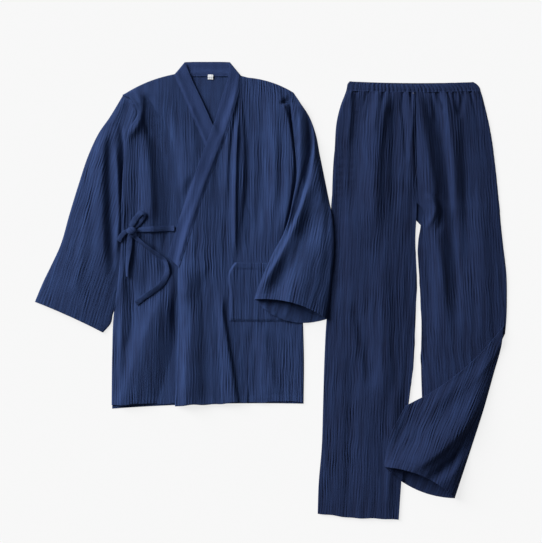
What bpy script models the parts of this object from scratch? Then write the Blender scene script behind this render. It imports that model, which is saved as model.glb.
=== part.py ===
"""Samue set laid flat: a crossed jacket with a bow at the side, and gathered trousers beside it.

Metres, +Z up. The set lies on z = 0, the jacket to the left (-X) and the trousers to the right,
collar and waistband towards +Y. Right and left in the names are the wearer's.
Every cloth piece is a lofted grid between two edges. It is laid on the pieces below it, one after
the other, and thickened upwards by its wall. A sleeve or a folded leg is a flattened tube.
"""

import math
from collections import namedtuple

import bmesh
import bpy
import numpy as np
from mathutils import Vector
from mathutils.bvhtree import BVHTree

SET_NAME = "samue_set"

CLOTH_WALL = 0.0015
COLLAR_WALL = 0.0026
STRAP_WALL = 0.0022
LABEL_WALL = 0.0010
WAISTBAND_WALL = 0.0024
LAY_GAP = 0.0005
STRAP_WIDTH = 0.0124
TUBE_EDGE_RADIUS = 0.0022
TUBE_INNER_GAP = 0.0008
WAIST_WAVES = 29
WAIST_WAVE_RISE = 0.0018
WAIST_SEGMENTS_PER_WAVE = 4
CROWN_POWER = 0.7
FOLD_STEPS = 33
FOLD_EDGE_FADE = 1.6
PROBES = 6
LAY_TURNS = 8
SKY = 1.0
WELD_DISTANCE = 0.00001
KNOT_SEGMENTS = 14
KNOT_RINGS = 8
KNOT_FLAT = 0.5

NAVY = (0.026, 0.048, 0.155)
NAVY_COLLAR = (0.024, 0.044, 0.140)
LABEL_WHITE = (0.86, 0.86, 0.85)
CLOTH_ROUGHNESS = 0.9

# One line across a flat piece: its two ends and their heights above the floor, how much higher
# the middle stands, and how far the line bows towards +Y there. What lies below may raise it.
Section = namedtuple(
    "Section", "left_x left_y left_lift right_x right_y right_lift crown bow")

# One line across a flattened tube: its ends, the height of its middle above the floor, and the
# bows of the layer below and the layer on top.
Ring = namedtuple("Ring", "left_x left_y right_x right_y height bow_under bow_over")

# A ridge (rise above 0) or a trough (below 0) along a bent line through three points.
Fold = namedtuple("Fold", "start_x start_y mid_x mid_y end_x end_y rise half_width")

# A point on a strap's middle line: lift above what it lies on, width and roll in degrees.
Stop = namedtuple("Stop", "x y lift width roll")

# The columns that hold places, by which a table's rows are spaced.
SECTION_PLACES = (0, 1, 3, 4)
RING_PLACES = (0, 1, 2, 3)
STOP_PLACES = (0, 1, 2)

JACKET_BACK = (
    Section(-0.325, 0.427, 0.000, 0.044, 0.430, 0.000, 0.000, 0.046),
    Section(-0.300, 0.394, 0.000, 0.050, 0.380, 0.000, 0.000, 0.020),
    Section(-0.314, 0.350, 0.000, 0.054, 0.330, 0.000, 0.000, 0.004),
    Section(-0.323, 0.271, 0.000, 0.060, 0.250, 0.000, 0.000, 0.000),
    Section(-0.326, 0.114, 0.000, 0.066, 0.114, 0.000, 0.000, 0.000),
    Section(-0.341, -0.059, 0.000, 0.071, -0.070, 0.000, 0.000, 0.000),
    Section(-0.349, -0.154, 0.000, 0.073, -0.154, 0.000, 0.000, 0.000),
    Section(-0.351, -0.261, 0.000, 0.072, -0.250, 0.000, 0.000, 0.005),
)

FRONT_RIGHT = (
    Section(-0.328, 0.431, 0.001, -0.206, 0.474, 0.000, 0.003, 0.004),
    Section(-0.309, 0.422, 0.005, -0.195, 0.452, 0.001, 0.005, 0.000),
    Section(-0.294, 0.394, 0.007, -0.178, 0.412, 0.002, 0.005, 0.000),
    Section(-0.314, 0.352, 0.004, -0.152, 0.352, 0.002, 0.007, 0.000),
    Section(-0.326, 0.271, 0.001, -0.119, 0.271, 0.002, 0.009, 0.000),
    Section(-0.329, 0.200, 0.001, -0.092, 0.200, 0.001, 0.009, 0.000),
    Section(-0.330, 0.114, 0.001, -0.063, 0.118, 0.001, 0.008, 0.000),
    Section(-0.340, 0.001, 0.001, -0.047, 0.020, 0.001, 0.007, 0.000),
    Section(-0.348, -0.059, 0.001, -0.050, -0.059, 0.001, 0.007, 0.000),
    Section(-0.351, -0.154, 0.001, -0.053, -0.154, 0.001, 0.007, 0.000),
    Section(-0.352, -0.253, 0.001, -0.053, -0.247, 0.001, 0.004, 0.001),
)

FRONT_RIGHT_FOLDS = (
    Fold(-0.276, 0.370, -0.234, 0.277, -0.219, 0.165, -0.0050, 0.016),
    Fold(-0.217, -0.036, -0.276, -0.154, -0.314, -0.240, -0.0045, 0.016),
    Fold(-0.246, 0.120, -0.262, 0.010, -0.300, -0.110, 0.0025, 0.014),
    Fold(-0.232, 0.400, -0.205, 0.330, -0.180, 0.240, 0.0025, 0.012),
)

COLLAR_BACK = (
    Section(-0.2120, 0.4745, 0.0, -0.1890, 0.5045, 0.0005, 0.000, 0.000),
    Section(-0.1800, 0.4730, 0.0, -0.1720, 0.5050, 0.0010, 0.000, 0.000),
    Section(-0.1390, 0.4730, 0.0, -0.1390, 0.5050, 0.0015, 0.000, 0.000),
    Section(-0.0980, 0.4730, 0.0, -0.1070, 0.5050, 0.0010, 0.000, 0.000),
    Section(-0.0690, 0.4740, 0.0, -0.0920, 0.5045, 0.0005, 0.000, 0.000),
)

COLLAR_RIGHT = (
    Section(-0.214, 0.4755, 0.0, -0.190, 0.5045, 0.000, 0.001, 0.000),
    Section(-0.203, 0.451, 0.001, -0.173, 0.464, 0.001, 0.001, 0.000),
    Section(-0.185, 0.410, 0.001, -0.153, 0.422, 0.003, 0.001, 0.000),
    Section(-0.163, 0.360, 0.001, -0.130, 0.371, 0.003, 0.001, 0.000),
    Section(-0.146, 0.321, 0.001, -0.114, 0.333, 0.002, 0.001, 0.000),
    Section(-0.108, 0.222, 0.000, -0.076, 0.236, 0.000, 0.001, 0.000),
    Section(-0.073, 0.123, 0.000, -0.040, 0.135, 0.000, 0.001, 0.000),
    Section(-0.055, 0.050, 0.000, -0.021, 0.058, 0.000, 0.001, 0.000),
)

FRONT_LEFT = (
    Section(-0.073, 0.471, 0.000, 0.044, 0.432, 0.001, 0.003, 0.006),
    Section(-0.077, 0.440, 0.001, 0.046, 0.400, 0.002, 0.006, 0.002),
    Section(-0.099, 0.374, 0.001, 0.049, 0.346, 0.002, 0.007, 0.000),
    Section(-0.121, 0.314, 0.001, 0.052, 0.296, 0.001, 0.008, 0.000),
    Section(-0.162, 0.202, 0.001, 0.058, 0.204, 0.001, 0.008, 0.000),
    Section(-0.182, 0.141, 0.001, 0.062, 0.143, 0.001, 0.007, 0.000),
    Section(-0.204, 0.052, 0.001, 0.066, 0.052, 0.001, 0.006, 0.000),
    Section(-0.204, -0.021, 0.002, 0.069, -0.021, 0.001, 0.006, 0.000),
    Section(-0.208, -0.131, 0.002, 0.071, -0.131, 0.001, 0.006, 0.000),
    Section(-0.212, -0.256, 0.001, 0.070, -0.246, 0.001, 0.004, 0.003),
)

FRONT_LEFT_FOLDS = (
    Fold(-0.069, 0.440, -0.086, 0.244, -0.086, 0.062, 0.0050, 0.011),
    Fold(-0.052, 0.440, -0.060, 0.244, -0.062, 0.062, -0.0060, 0.013),
    Fold(-0.188, 0.010, -0.190, -0.109, -0.192, -0.235, 0.0045, 0.012),
    Fold(-0.157, 0.010, -0.152, -0.116, -0.150, -0.240, -0.0050, 0.014),
    Fold(-0.099, -0.070, -0.093, -0.130, -0.073, -0.250, -0.0050, 0.011),
    Fold(0.032, 0.405, 0.040, 0.288, 0.026, 0.125, 0.0050, 0.012),
    Fold(-0.010, 0.430, 0.004, 0.300, -0.016, 0.120, -0.0025, 0.016),
)

COLLAR_LEFT = (
    Section(-0.0910, 0.5045, 0.000, -0.0660, 0.4740, 0.000, 0.001, 0.000),
    Section(-0.0940, 0.4740, 0.001, -0.0670, 0.4560, 0.001, 0.001, 0.000),
    Section(-0.1080, 0.4280, 0.002, -0.0760, 0.4180, 0.001, 0.001, 0.000),
    Section(-0.1290, 0.3590, 0.002, -0.0970, 0.3490, 0.001, 0.001, 0.000),
    Section(-0.1460, 0.3160, 0.002, -0.1140, 0.3040, 0.001, 0.001, 0.000),
    Section(-0.1750, 0.2340, 0.001, -0.1450, 0.2220, 0.001, 0.001, 0.000),
    Section(-0.2010, 0.1620, 0.001, -0.1690, 0.1500, 0.001, 0.001, 0.000),
    Section(-0.2280, 0.0740, 0.001, -0.2030, 0.0510, 0.001, 0.001, 0.000),
)

POCKET = (
    Section(-0.080, 0.062, 0.0, 0.044, 0.060, 0.0, 0.0015, 0.000),
    Section(-0.091, 0.046, 0.0, 0.045, 0.046, 0.0, 0.0015, 0.000),
    Section(-0.092, -0.010, 0.0, 0.046, -0.010, 0.0, 0.0015, 0.000),
    Section(-0.092, -0.068, 0.0, 0.046, -0.069, 0.0, 0.0005, 0.000),
)

LABEL = (
    Section(-0.1397, 0.4791, 0.0, -0.1251, 0.4791, 0.0, 0.0, 0.0),
    Section(-0.1397, 0.4667, 0.0, -0.1251, 0.4667, 0.0, 0.0, 0.0),
)

SLEEVE_RIGHT = (
    Ring(-0.327, 0.429, -0.294, 0.398, 0.006, 0.000, 0.000),
    Ring(-0.356, 0.383, -0.289, 0.360, 0.009, 0.000, 0.000),
    Ring(-0.379, 0.350, -0.292, 0.318, 0.011, 0.000, 0.000),
    Ring(-0.402, 0.302, -0.297, 0.262, 0.012, 0.000, 0.000),
    Ring(-0.426, 0.231, -0.303, 0.190, 0.012, 0.000, 0.000),
    Ring(-0.445, 0.169, -0.309, 0.128, 0.012, 0.000, 0.000),
    Ring(-0.465, 0.100, -0.320, 0.052, 0.012, 0.000, 0.000),
    Ring(-0.487, 0.052, -0.334, -0.008, 0.012, 0.000, 0.000),
    Ring(-0.504, 0.017, -0.349, -0.052, 0.011, 0.000, 0.000),
    Ring(-0.5215, -0.025, -0.367, -0.093, 0.010, 0.002, 0.003),
)

SLEEVE_RIGHT_FOLDS = (
    Fold(-0.367, 0.368, -0.391, 0.215, -0.376, -0.003, 0.0050, 0.013),
    Fold(-0.351, 0.324, -0.353, 0.215, -0.345, 0.114, 0.0035, 0.008),
    Fold(-0.362, 0.310, -0.369, 0.200, -0.360, 0.074, -0.0045, 0.007),
    Fold(-0.440, 0.150, -0.455, 0.060, -0.480, -0.030, 0.0020, 0.012),
)

SLEEVE_LEFT = (
    Ring(0.0480, 0.419, 0.064, 0.417, 0.006, 0.000, 0.000),
    Ring(0.0505, 0.381, 0.086, 0.381, 0.009, 0.000, 0.000),
    Ring(0.056, 0.345, 0.099, 0.345, 0.011, 0.000, 0.000),
    Ring(0.060, 0.299, 0.108, 0.299, 0.012, 0.000, 0.000),
    Ring(0.060, 0.248, 0.118, 0.250, 0.012, 0.000, 0.000),
    Ring(0.053, 0.202, 0.127, 0.205, 0.012, 0.000, 0.000),
    Ring(0.042, 0.160, 0.135, 0.165, 0.012, 0.000, 0.000),
    Ring(0.026, 0.122, 0.139, 0.122, 0.012, 0.000, 0.000),
    Ring(0.006, 0.086, 0.139, 0.086, 0.014, 0.000, 0.002),
    Ring(-0.013, 0.045, 0.136, 0.042, 0.018, -0.004, 0.005),
    Ring(-0.027, 0.010, 0.131, -0.008, 0.023, -0.013, 0.010),
    Ring(-0.037, -0.019, 0.125, -0.063, 0.028, -0.027, 0.015),
)

SLEEVE_LEFT_FOLDS = (
    Fold(0.050, 0.421, 0.083, 0.293, 0.036, 0.125, 0.0055, 0.010),
    Fold(0.036, 0.125, 0.000, 0.062, -0.026, -0.017, 0.0040, 0.009),
    Fold(0.072, 0.200, 0.030, 0.080, -0.008, 0.000, -0.0050, 0.011),
    Fold(0.104, 0.280, 0.118, 0.120, 0.098, -0.030, 0.0030, 0.014),
)

TROUSER_RIGHT = (
    Section(0.1680, 0.4394, 0.003, 0.3125, 0.4358, 0.008, 0.001, -0.001),
    Section(0.1560, 0.415, 0.002, 0.3140, 0.412, 0.008, 0.005, 0.000),
    Section(0.1460, 0.378, 0.001, 0.3160, 0.378, 0.008, 0.006, 0.000),
    Section(0.1410, 0.322, 0.001, 0.3180, 0.322, 0.008, 0.006, 0.000),
    Section(0.1390, 0.255, 0.001, 0.3210, 0.255, 0.007, 0.006, 0.000),
    Section(0.1330, 0.190, 0.001, 0.3220, 0.190, 0.004, 0.007, 0.000),
    Section(0.1310, 0.123, 0.001, 0.3190, 0.123, 0.001, 0.008, 0.000),
    Section(0.1300, 0.001, 0.001, 0.3220, 0.001, 0.001, 0.008, 0.000),
    Section(0.1230, -0.061, 0.001, 0.3180, -0.061, 0.001, 0.008, 0.000),
    Section(0.1180, -0.150, 0.001, 0.3150, -0.160, 0.001, 0.008, 0.000),
    Section(0.1150, -0.250, 0.001, 0.3030, -0.251, 0.001, 0.008, 0.000),
    Section(0.1120, -0.345, 0.001, 0.2940, -0.345, 0.001, 0.007, 0.000),
    Section(0.1050, -0.430, 0.001, 0.2870, -0.432, 0.001, 0.006, 0.000),
    Section(0.1030, -0.493, 0.001, 0.2820, -0.505, 0.001, 0.004, -0.003),
)

TROUSER_RIGHT_FOLDS = (
    Fold(0.186, 0.445, 0.176, 0.400, 0.168, 0.330, 0.0022, 0.008),
    Fold(0.204, 0.445, 0.198, 0.400, 0.192, 0.350, -0.0020, 0.007),
    Fold(0.222, 0.445, 0.222, 0.380, 0.216, 0.260, 0.0030, 0.009),
    Fold(0.242, 0.445, 0.243, 0.400, 0.246, 0.330, -0.0022, 0.007),
    Fold(0.262, 0.445, 0.264, 0.390, 0.270, 0.300, 0.0024, 0.008),
    Fold(0.284, 0.445, 0.286, 0.400, 0.290, 0.340, -0.0020, 0.007),
    Fold(0.308, 0.445, 0.308, 0.360, 0.310, 0.210, 0.0026, 0.008),
    Fold(0.236, 0.180, 0.244, -0.020, 0.232, -0.240, 0.0020, 0.016),
    Fold(0.190, -0.100, 0.180, -0.280, 0.178, -0.470, -0.0020, 0.016),
)

TROUSER_LEFT = (
    Section(0.3135, 0.4358, 0.008, 0.4620, 0.4392, 0.002, 0.001, -0.001),
    Section(0.3150, 0.405, 0.008, 0.4730, 0.405, 0.002, 0.005, 0.000),
    Section(0.3175, 0.350, 0.008, 0.4850, 0.350, 0.001, 0.006, 0.000),
    Section(0.3220, 0.265, 0.007, 0.4960, 0.270, 0.001, 0.006, 0.000),
    Section(0.3255, 0.190, 0.004, 0.5040, 0.195, 0.001, 0.007, 0.000),
    Section(0.3300, 0.151, 0.002, 0.5070, 0.155, 0.001, 0.008, 0.000),
    Section(0.3250, 0.110, 0.001, 0.5110, 0.115, 0.001, 0.008, 0.000),
    Section(0.3280, 0.015, 0.001, 0.5200, 0.035, 0.001, 0.008, 0.000),
    Section(0.3320, -0.070, 0.001, 0.5210, -0.020, 0.001, 0.008, 0.000),
    Section(0.3310, -0.155, 0.001, 0.5200, -0.060, 0.001, 0.007, -0.008),
    Section(0.3340, -0.262, 0.001, 0.5170, -0.095, 0.001, 0.004, -0.026),
)

TROUSER_LEFT_FOLDS = (
    Fold(0.330, 0.445, 0.331, 0.380, 0.336, 0.300, -0.0020, 0.007),
    Fold(0.352, 0.445, 0.356, 0.400, 0.364, 0.310, 0.0024, 0.008),
    Fold(0.374, 0.445, 0.378, 0.400, 0.386, 0.340, -0.0022, 0.007),
    Fold(0.384, 0.445, 0.400, 0.370, 0.414, 0.250, 0.0030, 0.009),
    Fold(0.412, 0.445, 0.420, 0.400, 0.430, 0.330, -0.0022, 0.007),
    Fold(0.432, 0.445, 0.442, 0.400, 0.452, 0.310, 0.0024, 0.008),
    Fold(0.314, 0.355, 0.366, 0.250, 0.386, 0.120, 0.0035, 0.010),
    Fold(0.386, 0.140, 0.392, 0.010, 0.382, -0.200, 0.0045, 0.010),
    Fold(0.350, 0.260, 0.400, 0.160, 0.404, 0.020, -0.0045, 0.009),
    Fold(0.404, 0.060, 0.404, -0.060, 0.396, -0.180, -0.0050, 0.009),
)

LOWER_LEG = (
    Ring(0.296, -0.255, 0.516, -0.078, 0.009, -0.018, -0.018),
    Ring(0.281, -0.282, 0.508, -0.124, 0.012, -0.016, -0.016),
    Ring(0.263, -0.315, 0.491, -0.187, 0.013, -0.012, -0.012),
    Ring(0.256, -0.345, 0.470, -0.262, 0.017, -0.010, -0.004),
    Ring(0.251, -0.370, 0.445, -0.340, 0.021, -0.012, 0.006),
    Ring(0.249, -0.387, 0.406, -0.459, 0.027, -0.018, 0.017),
)

LOWER_LEG_FOLDS = (
    Fold(0.300, -0.410, 0.420, -0.300, 0.486, -0.190, -0.0070, 0.011),
    Fold(0.300, -0.360, 0.360, -0.300, 0.420, -0.240, 0.0040, 0.014),
    Fold(0.390, -0.425, 0.440, -0.330, 0.480, -0.240, 0.0035, 0.010),
)

WAISTBAND = (
    Ring(0.170, 0.4620, 0.449, 0.4605, 0.0110, -0.0010, -0.0040),
    Ring(0.166, 0.4412, 0.463, 0.4412, 0.0110, -0.0040, -0.0040),
)

TIE_FRONT = (
    Stop(-0.2100, 0.1370, 0.000, STRAP_WIDTH, 0.0),
    Stop(-0.2350, 0.1365, 0.000, STRAP_WIDTH, 0.0),
    Stop(-0.2620, 0.1350, 0.001, 0.0120, 0.0),
    Stop(-0.2880, 0.1340, 0.000, 0.0110, 0.0),
    Stop(-0.3020, 0.1330, 0.000, 0.0100, 0.0),
)

TIE_SIDE = (
    Stop(-0.3350, 0.1080, 0.000, 0.0110, 0.0),
    Stop(-0.3290, 0.1200, 0.001, 0.0110, 0.0),
    Stop(-0.3200, 0.1290, 0.000, 0.0100, 0.0),
    Stop(-0.3120, 0.1320, 0.000, 0.0090, 0.0),
)

TIE_LOOP = (
    Stop(-0.3040, 0.1400, 0.0000, 0.0090, 0.0),
    Stop(-0.2960, 0.1520, 0.0000, 0.0120, 0.0),
    Stop(-0.2860, 0.1640, 0.0010, STRAP_WIDTH, 0.0),
    Stop(-0.2820, 0.1690, 0.0040, STRAP_WIDTH, 0.0),
    Stop(-0.2840, 0.1665, 0.0076, STRAP_WIDTH, 0.0),
    Stop(-0.2930, 0.1560, 0.0086, STRAP_WIDTH, 0.0),
    Stop(-0.3020, 0.1420, 0.0066, 0.0100, 0.0),
)

TAIL_SHORT = (
    Stop(-0.3100, 0.1230, 0.000, 0.0090, 0.0),
    Stop(-0.3130, 0.1100, 0.000, 0.0110, 0.0),
    Stop(-0.3160, 0.0800, 0.000, 0.0100, 25.0),
    Stop(-0.3170, 0.0560, 0.000, 0.0090, 60.0),
    Stop(-0.3170, 0.0300, 0.000, 0.0090, 60.0),
)

TAIL_LONG = (
    Stop(-0.3060, 0.1240, 0.000, 0.0080, 0.0),
    Stop(-0.2930, 0.1110, 0.000, 0.0100, 45.0),
    Stop(-0.2630, 0.0880, 0.000, 0.0110, 60.0),
    Stop(-0.2390, 0.0730, 0.000, 0.0110, 50.0),
    Stop(-0.2280, 0.0570, 0.000, 0.0115, 35.0),
    Stop(-0.2280, 0.0350, 0.000, STRAP_WIDTH, 20.0),
    Stop(-0.2400, 0.0140, 0.000, STRAP_WIDTH, 0.0),
    Stop(-0.2640, -0.0040, 0.000, STRAP_WIDTH, 0.0),
    Stop(-0.2960, -0.0260, 0.000, STRAP_WIDTH, 0.0),
)

KNOT_CENTRE = (-0.3065, 0.1315)
KNOT_RADII = (0.0105, 0.0090, 0.0050)


def new_collection(name):
    """Return a new collection linked to the scene."""
    collection = bpy.data.collections.new(name)
    bpy.context.scene.collection.children.link(collection)
    return collection


def new_material(name, colour, roughness=CLOTH_ROUGHNESS):
    """Return a Principled material of one colour."""
    material = bpy.data.materials.new(name)
    material.use_nodes = True
    shader = material.node_tree.nodes["Principled BSDF"]
    shader.inputs["Base Color"].default_value = (*colour, 1.0)
    shader.inputs["Roughness"].default_value = roughness
    shader.inputs["Metallic"].default_value = 0.0
    return material


def rows_between(table, count, place_columns):
    """Read a table's columns at evenly spaced places on a smooth curve through its rows."""
    values = np.array(table)
    steps = np.linalg.norm(np.diff(values[:, place_columns], axis=0), axis=1)
    stations = np.concatenate(([0.0], np.cumsum(steps)))
    slopes = np.gradient(values, stations, axis=0)
    places = np.linspace(0.0, stations[-1], count + 1)
    before = np.clip(np.searchsorted(stations, places, side="right") - 1, 0, len(stations) - 2)
    span = (stations[before + 1] - stations[before])[:, None]
    part = (places - stations[before])[:, None] / span
    start, end = values[before], values[before + 1]
    rise_start, rise_end = slopes[before] * span, slopes[before + 1] * span
    return (start * (1 + 2 * part) * (1 - part) ** 2 + rise_start * part * (1 - part) ** 2
            + end * part ** 2 * (3 - 2 * part) + rise_end * part ** 2 * (part - 1))


def points_across(left, right, bow, shares):
    """Points from left to right at the given shares of each line, bowed towards +Y."""
    shares = np.broadcast_to(shares, (len(left), shares.shape[-1]))[..., None]
    line = right - left
    side = np.stack((-line[:, 1], line[:, 0]), axis=1)
    side /= np.linalg.norm(side, axis=1)[:, None]
    arch = 4 * shares * (1 - shares) * bow[:, None, None]
    return left[:, None] * (1 - shares) + right[:, None] * shares + side[:, None] * arch


def fold_height(points, folds):
    """Sum of the folds' ridges and troughs at each point."""
    total = np.zeros(points.shape[:-1])
    steps = np.linspace(0.0, 1.0, FOLD_STEPS)
    for fold in folds:
        start = np.array((fold.start_x, fold.start_y))
        end = np.array((fold.end_x, fold.end_y))
        handle = 2 * np.array((fold.mid_x, fold.mid_y)) - (start + end) / 2
        line = (np.outer((1 - steps) ** 2, start) + np.outer(2 * steps * (1 - steps), handle)
                + np.outer(steps ** 2, end))
        away = np.linalg.norm(points[..., None, :] - line, axis=-1)
        nearest = away.argmin(axis=-1)
        fade = np.sqrt(np.clip(4 * steps * (1 - steps), 0.0, 1.0))[nearest]
        total += fold.rise * fade * np.exp(-(away.min(axis=-1) / fold.half_width) ** 2)
    return total


class Pile:
    """The pieces laid so far, seen from above."""

    def __init__(self, collection):
        self.collection = collection
        self.trees = []

    def add(self, piece):
        """Put a finished piece on the pile."""
        bpy.context.view_layer.update()
        graph = bpy.context.evaluated_depsgraph_get()
        self.trees.append(BVHTree.FromObject(piece, graph))

    def top(self, x, y):
        """Height of the pile at a place, 0 on the bare floor."""
        above = Vector((x, y, SKY))
        hits = (tree.ray_cast(above, Vector((0.0, 0.0, -1.0)))[0] for tree in self.trees)
        return max((hit.z for hit in hits if hit is not None), default=0.0)

    def clearance(self, points):
        """Least height of cloth at each point: a gap above the pile, or the floor itself."""
        heights = np.array([self.top(x, y) for x, y in points.reshape(-1, 2)])
        heights = heights.reshape(points.shape[:-1])
        return np.where(heights > 0.0, heights + LAY_GAP, 0.0)


def cell_corners(values):
    """The four corners of every cell of a grid, each ready to be read across its cell."""
    near = (values[:-1, :-1], values[:-1, 1:], values[1:, :-1], values[1:, 1:])
    return tuple(corner[:, :, None, None] for corner in near)


def laid(points, heights, pile):
    """Raise a grid of heights only as far as its cells need to clear the pile."""
    steps = np.linspace(0.0, 1.0, PROBES + 1)
    along, down = np.meshgrid(steps, steps)
    shares = ((1 - along) * (1 - down), along * (1 - down), (1 - along) * down, along * down)
    probes = sum(corner * share[..., None] for corner, share
                 in zip(cell_corners(points), shares))
    least = pile.clearance(probes)
    for turn in range(LAY_TURNS + 1):
        first, second, third, fourth = cell_corners(heights)
        one_way = np.where(along > down, first + (second - first) * along + (fourth - second) * down,
                           first + (third - first) * down + (fourth - third) * along)
        other_way = np.where(along + down < 1,
                             first + (second - first) * along + (third - first) * down,
                             fourth + (third - fourth) * (1 - along) + (second - fourth) * (1 - down))
        short = np.maximum(least - np.minimum(one_way, other_way), 0.0)
        lift = np.zeros_like(heights)
        corners = (lift[:-1, :-1], lift[:-1, 1:], lift[1:, :-1], lift[1:, 1:])
        for corner, share in zip(corners, shares):
            need = short if turn == LAY_TURNS else short * share
            np.maximum(corner, need.max(axis=(2, 3)), out=corner)
        heights = heights + lift
    return heights


def bridged(lowest, passes):
    """Let cloth span small steps in what it lies on, never below it."""
    heights = lowest.copy()
    for _ in range(passes):
        wide = np.pad(heights, 1, mode="edge")
        mean = (wide[:-2, 1:-1] + wide[2:, 1:-1] + wide[1:-1, :-2] + wide[1:-1, 2:]) / 4
        heights = np.maximum(lowest, mean)
    return heights


def piece_of(name, shape, material, pile):
    """Make a smooth object of a finished shape and put it in the set's collection."""
    mesh = bpy.data.meshes.new(name)
    shape.to_mesh(mesh)
    shape.free()
    mesh.materials.append(material)
    mesh.shade_smooth()
    piece = bpy.data.objects.new(name, mesh)
    pile.collection.objects.link(piece)
    return piece


def grid_piece(name, points, wall, inward, material, pile):
    """Make a grid through the points, join its coincident edges and thicken it."""
    rows, columns = points.shape[0] - 1, points.shape[1] - 1
    shape = bmesh.new()
    bmesh.ops.create_grid(shape, x_segments=columns, y_segments=rows, size=1.0)
    for vertex in shape.verts:
        column = round((vertex.co.x + 1.0) / 2.0 * columns)
        row = round((1.0 - vertex.co.y) / 2.0 * rows)
        vertex.co = Vector(points[row, column])
    bmesh.ops.remove_doubles(shape, verts=shape.verts, dist=WELD_DISTANCE)
    piece = piece_of(name, shape, material, pile)
    thickness = piece.modifiers.new("Wall", "SOLIDIFY")
    thickness.thickness = wall
    thickness.offset = -1.0 if inward else 1.0
    pile.add(piece)
    return piece


def flat_piece(name, table, across, along, pile, material, wall=CLOTH_WALL, folds=(),
               pressed=False):
    """Lay one flat piece on the pile, with its crown and folds, or pressed flat."""
    rows = rows_between(table, along, SECTION_PLACES)
    shares = np.linspace(0.0, 1.0, across + 1)
    flat = points_across(rows[:, 0:2], rows[:, 3:5], rows[:, 7], shares)
    edges = rows[:, 2, None] * (1 - shares) + rows[:, 5, None] * shares
    crown = rows[:, 6, None] * np.sin(np.pi * shares) ** CROWN_POWER
    free = edges + crown + fold_height(flat, folds)
    free = np.zeros_like(free) if pressed else np.maximum(free, 0.0)
    height = bridged(laid(flat, free, pile), 0 if pressed else 1)
    return grid_piece(name, np.dstack((flat, height)), wall, False, material, pile)


def tube_piece(name, table, over, under, along, pile, material, wall=CLOTH_WALL, folds=(),
               waves=None, folded_start=False):
    """Lay a flattened tube on the pile: a layer below, round sides and a layer on top."""
    rows = rows_between(table, along, RING_PLACES)
    left, right = rows[:, 0:2], rows[:, 2:4]
    edge = TUBE_EDGE_RADIUS / np.linalg.norm(right - left, axis=1)[:, None]
    shares_under = np.linspace(0.0, 1.0, under + 1)
    shares_over = np.linspace(0.0, 1.0, over + 1)
    inset_under = edge + (1 - 2 * edge) * shares_under
    inset_over = edge + (1 - 2 * edge) * shares_over
    flat_under = points_across(left, right, rows[:, 5], inset_under)
    flat_over = points_across(left, right, rows[:, 6], inset_over)
    footprint = np.concatenate((left[:, None], flat_under, right[:, None]), axis=1)
    footing = laid(footprint, np.zeros(footprint.shape[:2]), pile)
    base = footing[:, 1:-1]
    base_over = np.stack([np.interp(shares_over, shares_under, line) for line in base])
    rim = 2 * TUBE_EDGE_RADIUS
    arch = np.sin(np.pi * shares_over) ** CROWN_POWER
    swell = np.maximum(rows[:, 4, None] - base_over - rim, 0.0) * arch
    swell = swell + fold_height(flat_over, folds) * np.minimum(arch * FOLD_EDGE_FADE, 1.0)
    if waves is not None:
        swell = swell + waves(shares_over) * np.minimum(arch * FOLD_EDGE_FADE, 1.0)
    least = 2 * wall + TUBE_INNER_GAP
    top = np.maximum(base_over + rim + swell, base_over + least)
    top = laid(flat_over, top - least, pile) + least
    left_height = np.maximum((base[:, :1] + top[:, :1]) / 2, footing[:, :1])
    right_height = np.maximum((base[:, -1:] + top[:, -1:]) / 2, footing[:, -1:])
    left_side = np.dstack((left[:, None], left_height))
    right_side = np.dstack((right[:, None], right_height))
    ring = np.concatenate((np.dstack((flat_over, top)), right_side,
                           np.dstack((flat_under, base))[:, ::-1], left_side), axis=1)
    ring = np.concatenate((ring, ring[:, :1]), axis=1)
    if folded_start:
        ring = with_folded_start(ring, over)
    return grid_piece(name, ring, wall, True, material, pile)


def with_folded_start(ring, runs):
    """Close a tube's first ring into a round folded edge; both layers have the same runs."""
    first = ring[0]
    middle = (first[:runs + 1] + first[runs + 2:2 * runs + 3][::-1]) / 2
    inwards = ring[1] - first
    inwards[:, 2] = 0.0
    inwards /= np.linalg.norm(inwards, axis=1)[:, None]
    crest = first.copy()
    crest[:runs + 1] = middle
    crest[runs + 2:2 * runs + 3] = middle[::-1]
    crest[-1] = crest[0]
    outwards = -TUBE_EDGE_RADIUS * inwards
    outwards[runs + 2:2 * runs + 3] = outwards[:runs + 1][::-1]
    outwards[-1] = outwards[0]
    return np.concatenate(((crest + outwards)[None], ring), axis=0)


def strap(name, table, along, pile, material, across=2):
    """Lay a narrow strap along a bent line, rolled on its edge where it stands."""
    rows = rows_between(table, along, STOP_PLACES)
    middle = rows[:, :2]
    ahead = np.gradient(middle, axis=0)
    length = np.maximum(np.linalg.norm(ahead, axis=1), 1e-6)[:, None]
    side = np.stack((-ahead[:, 1], ahead[:, 0]), axis=1) / length
    roll = np.radians(rows[:, 4])[:, None]
    shares = np.linspace(-0.5, 0.5, across + 1)
    offset = rows[:, 3, None] * shares * np.cos(roll)
    flat = middle[:, None] + side[:, None] * offset[..., None]
    rest = laid(flat, np.zeros(flat.shape[:2]), pile).max(axis=1)[:, None]
    stand = rows[:, 3, None] * (shares + 0.5) * np.sin(roll)
    points = np.dstack((flat, rest + rows[:, 2, None] + stand))
    return grid_piece(name, points, STRAP_WALL, False, material, pile)


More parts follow.
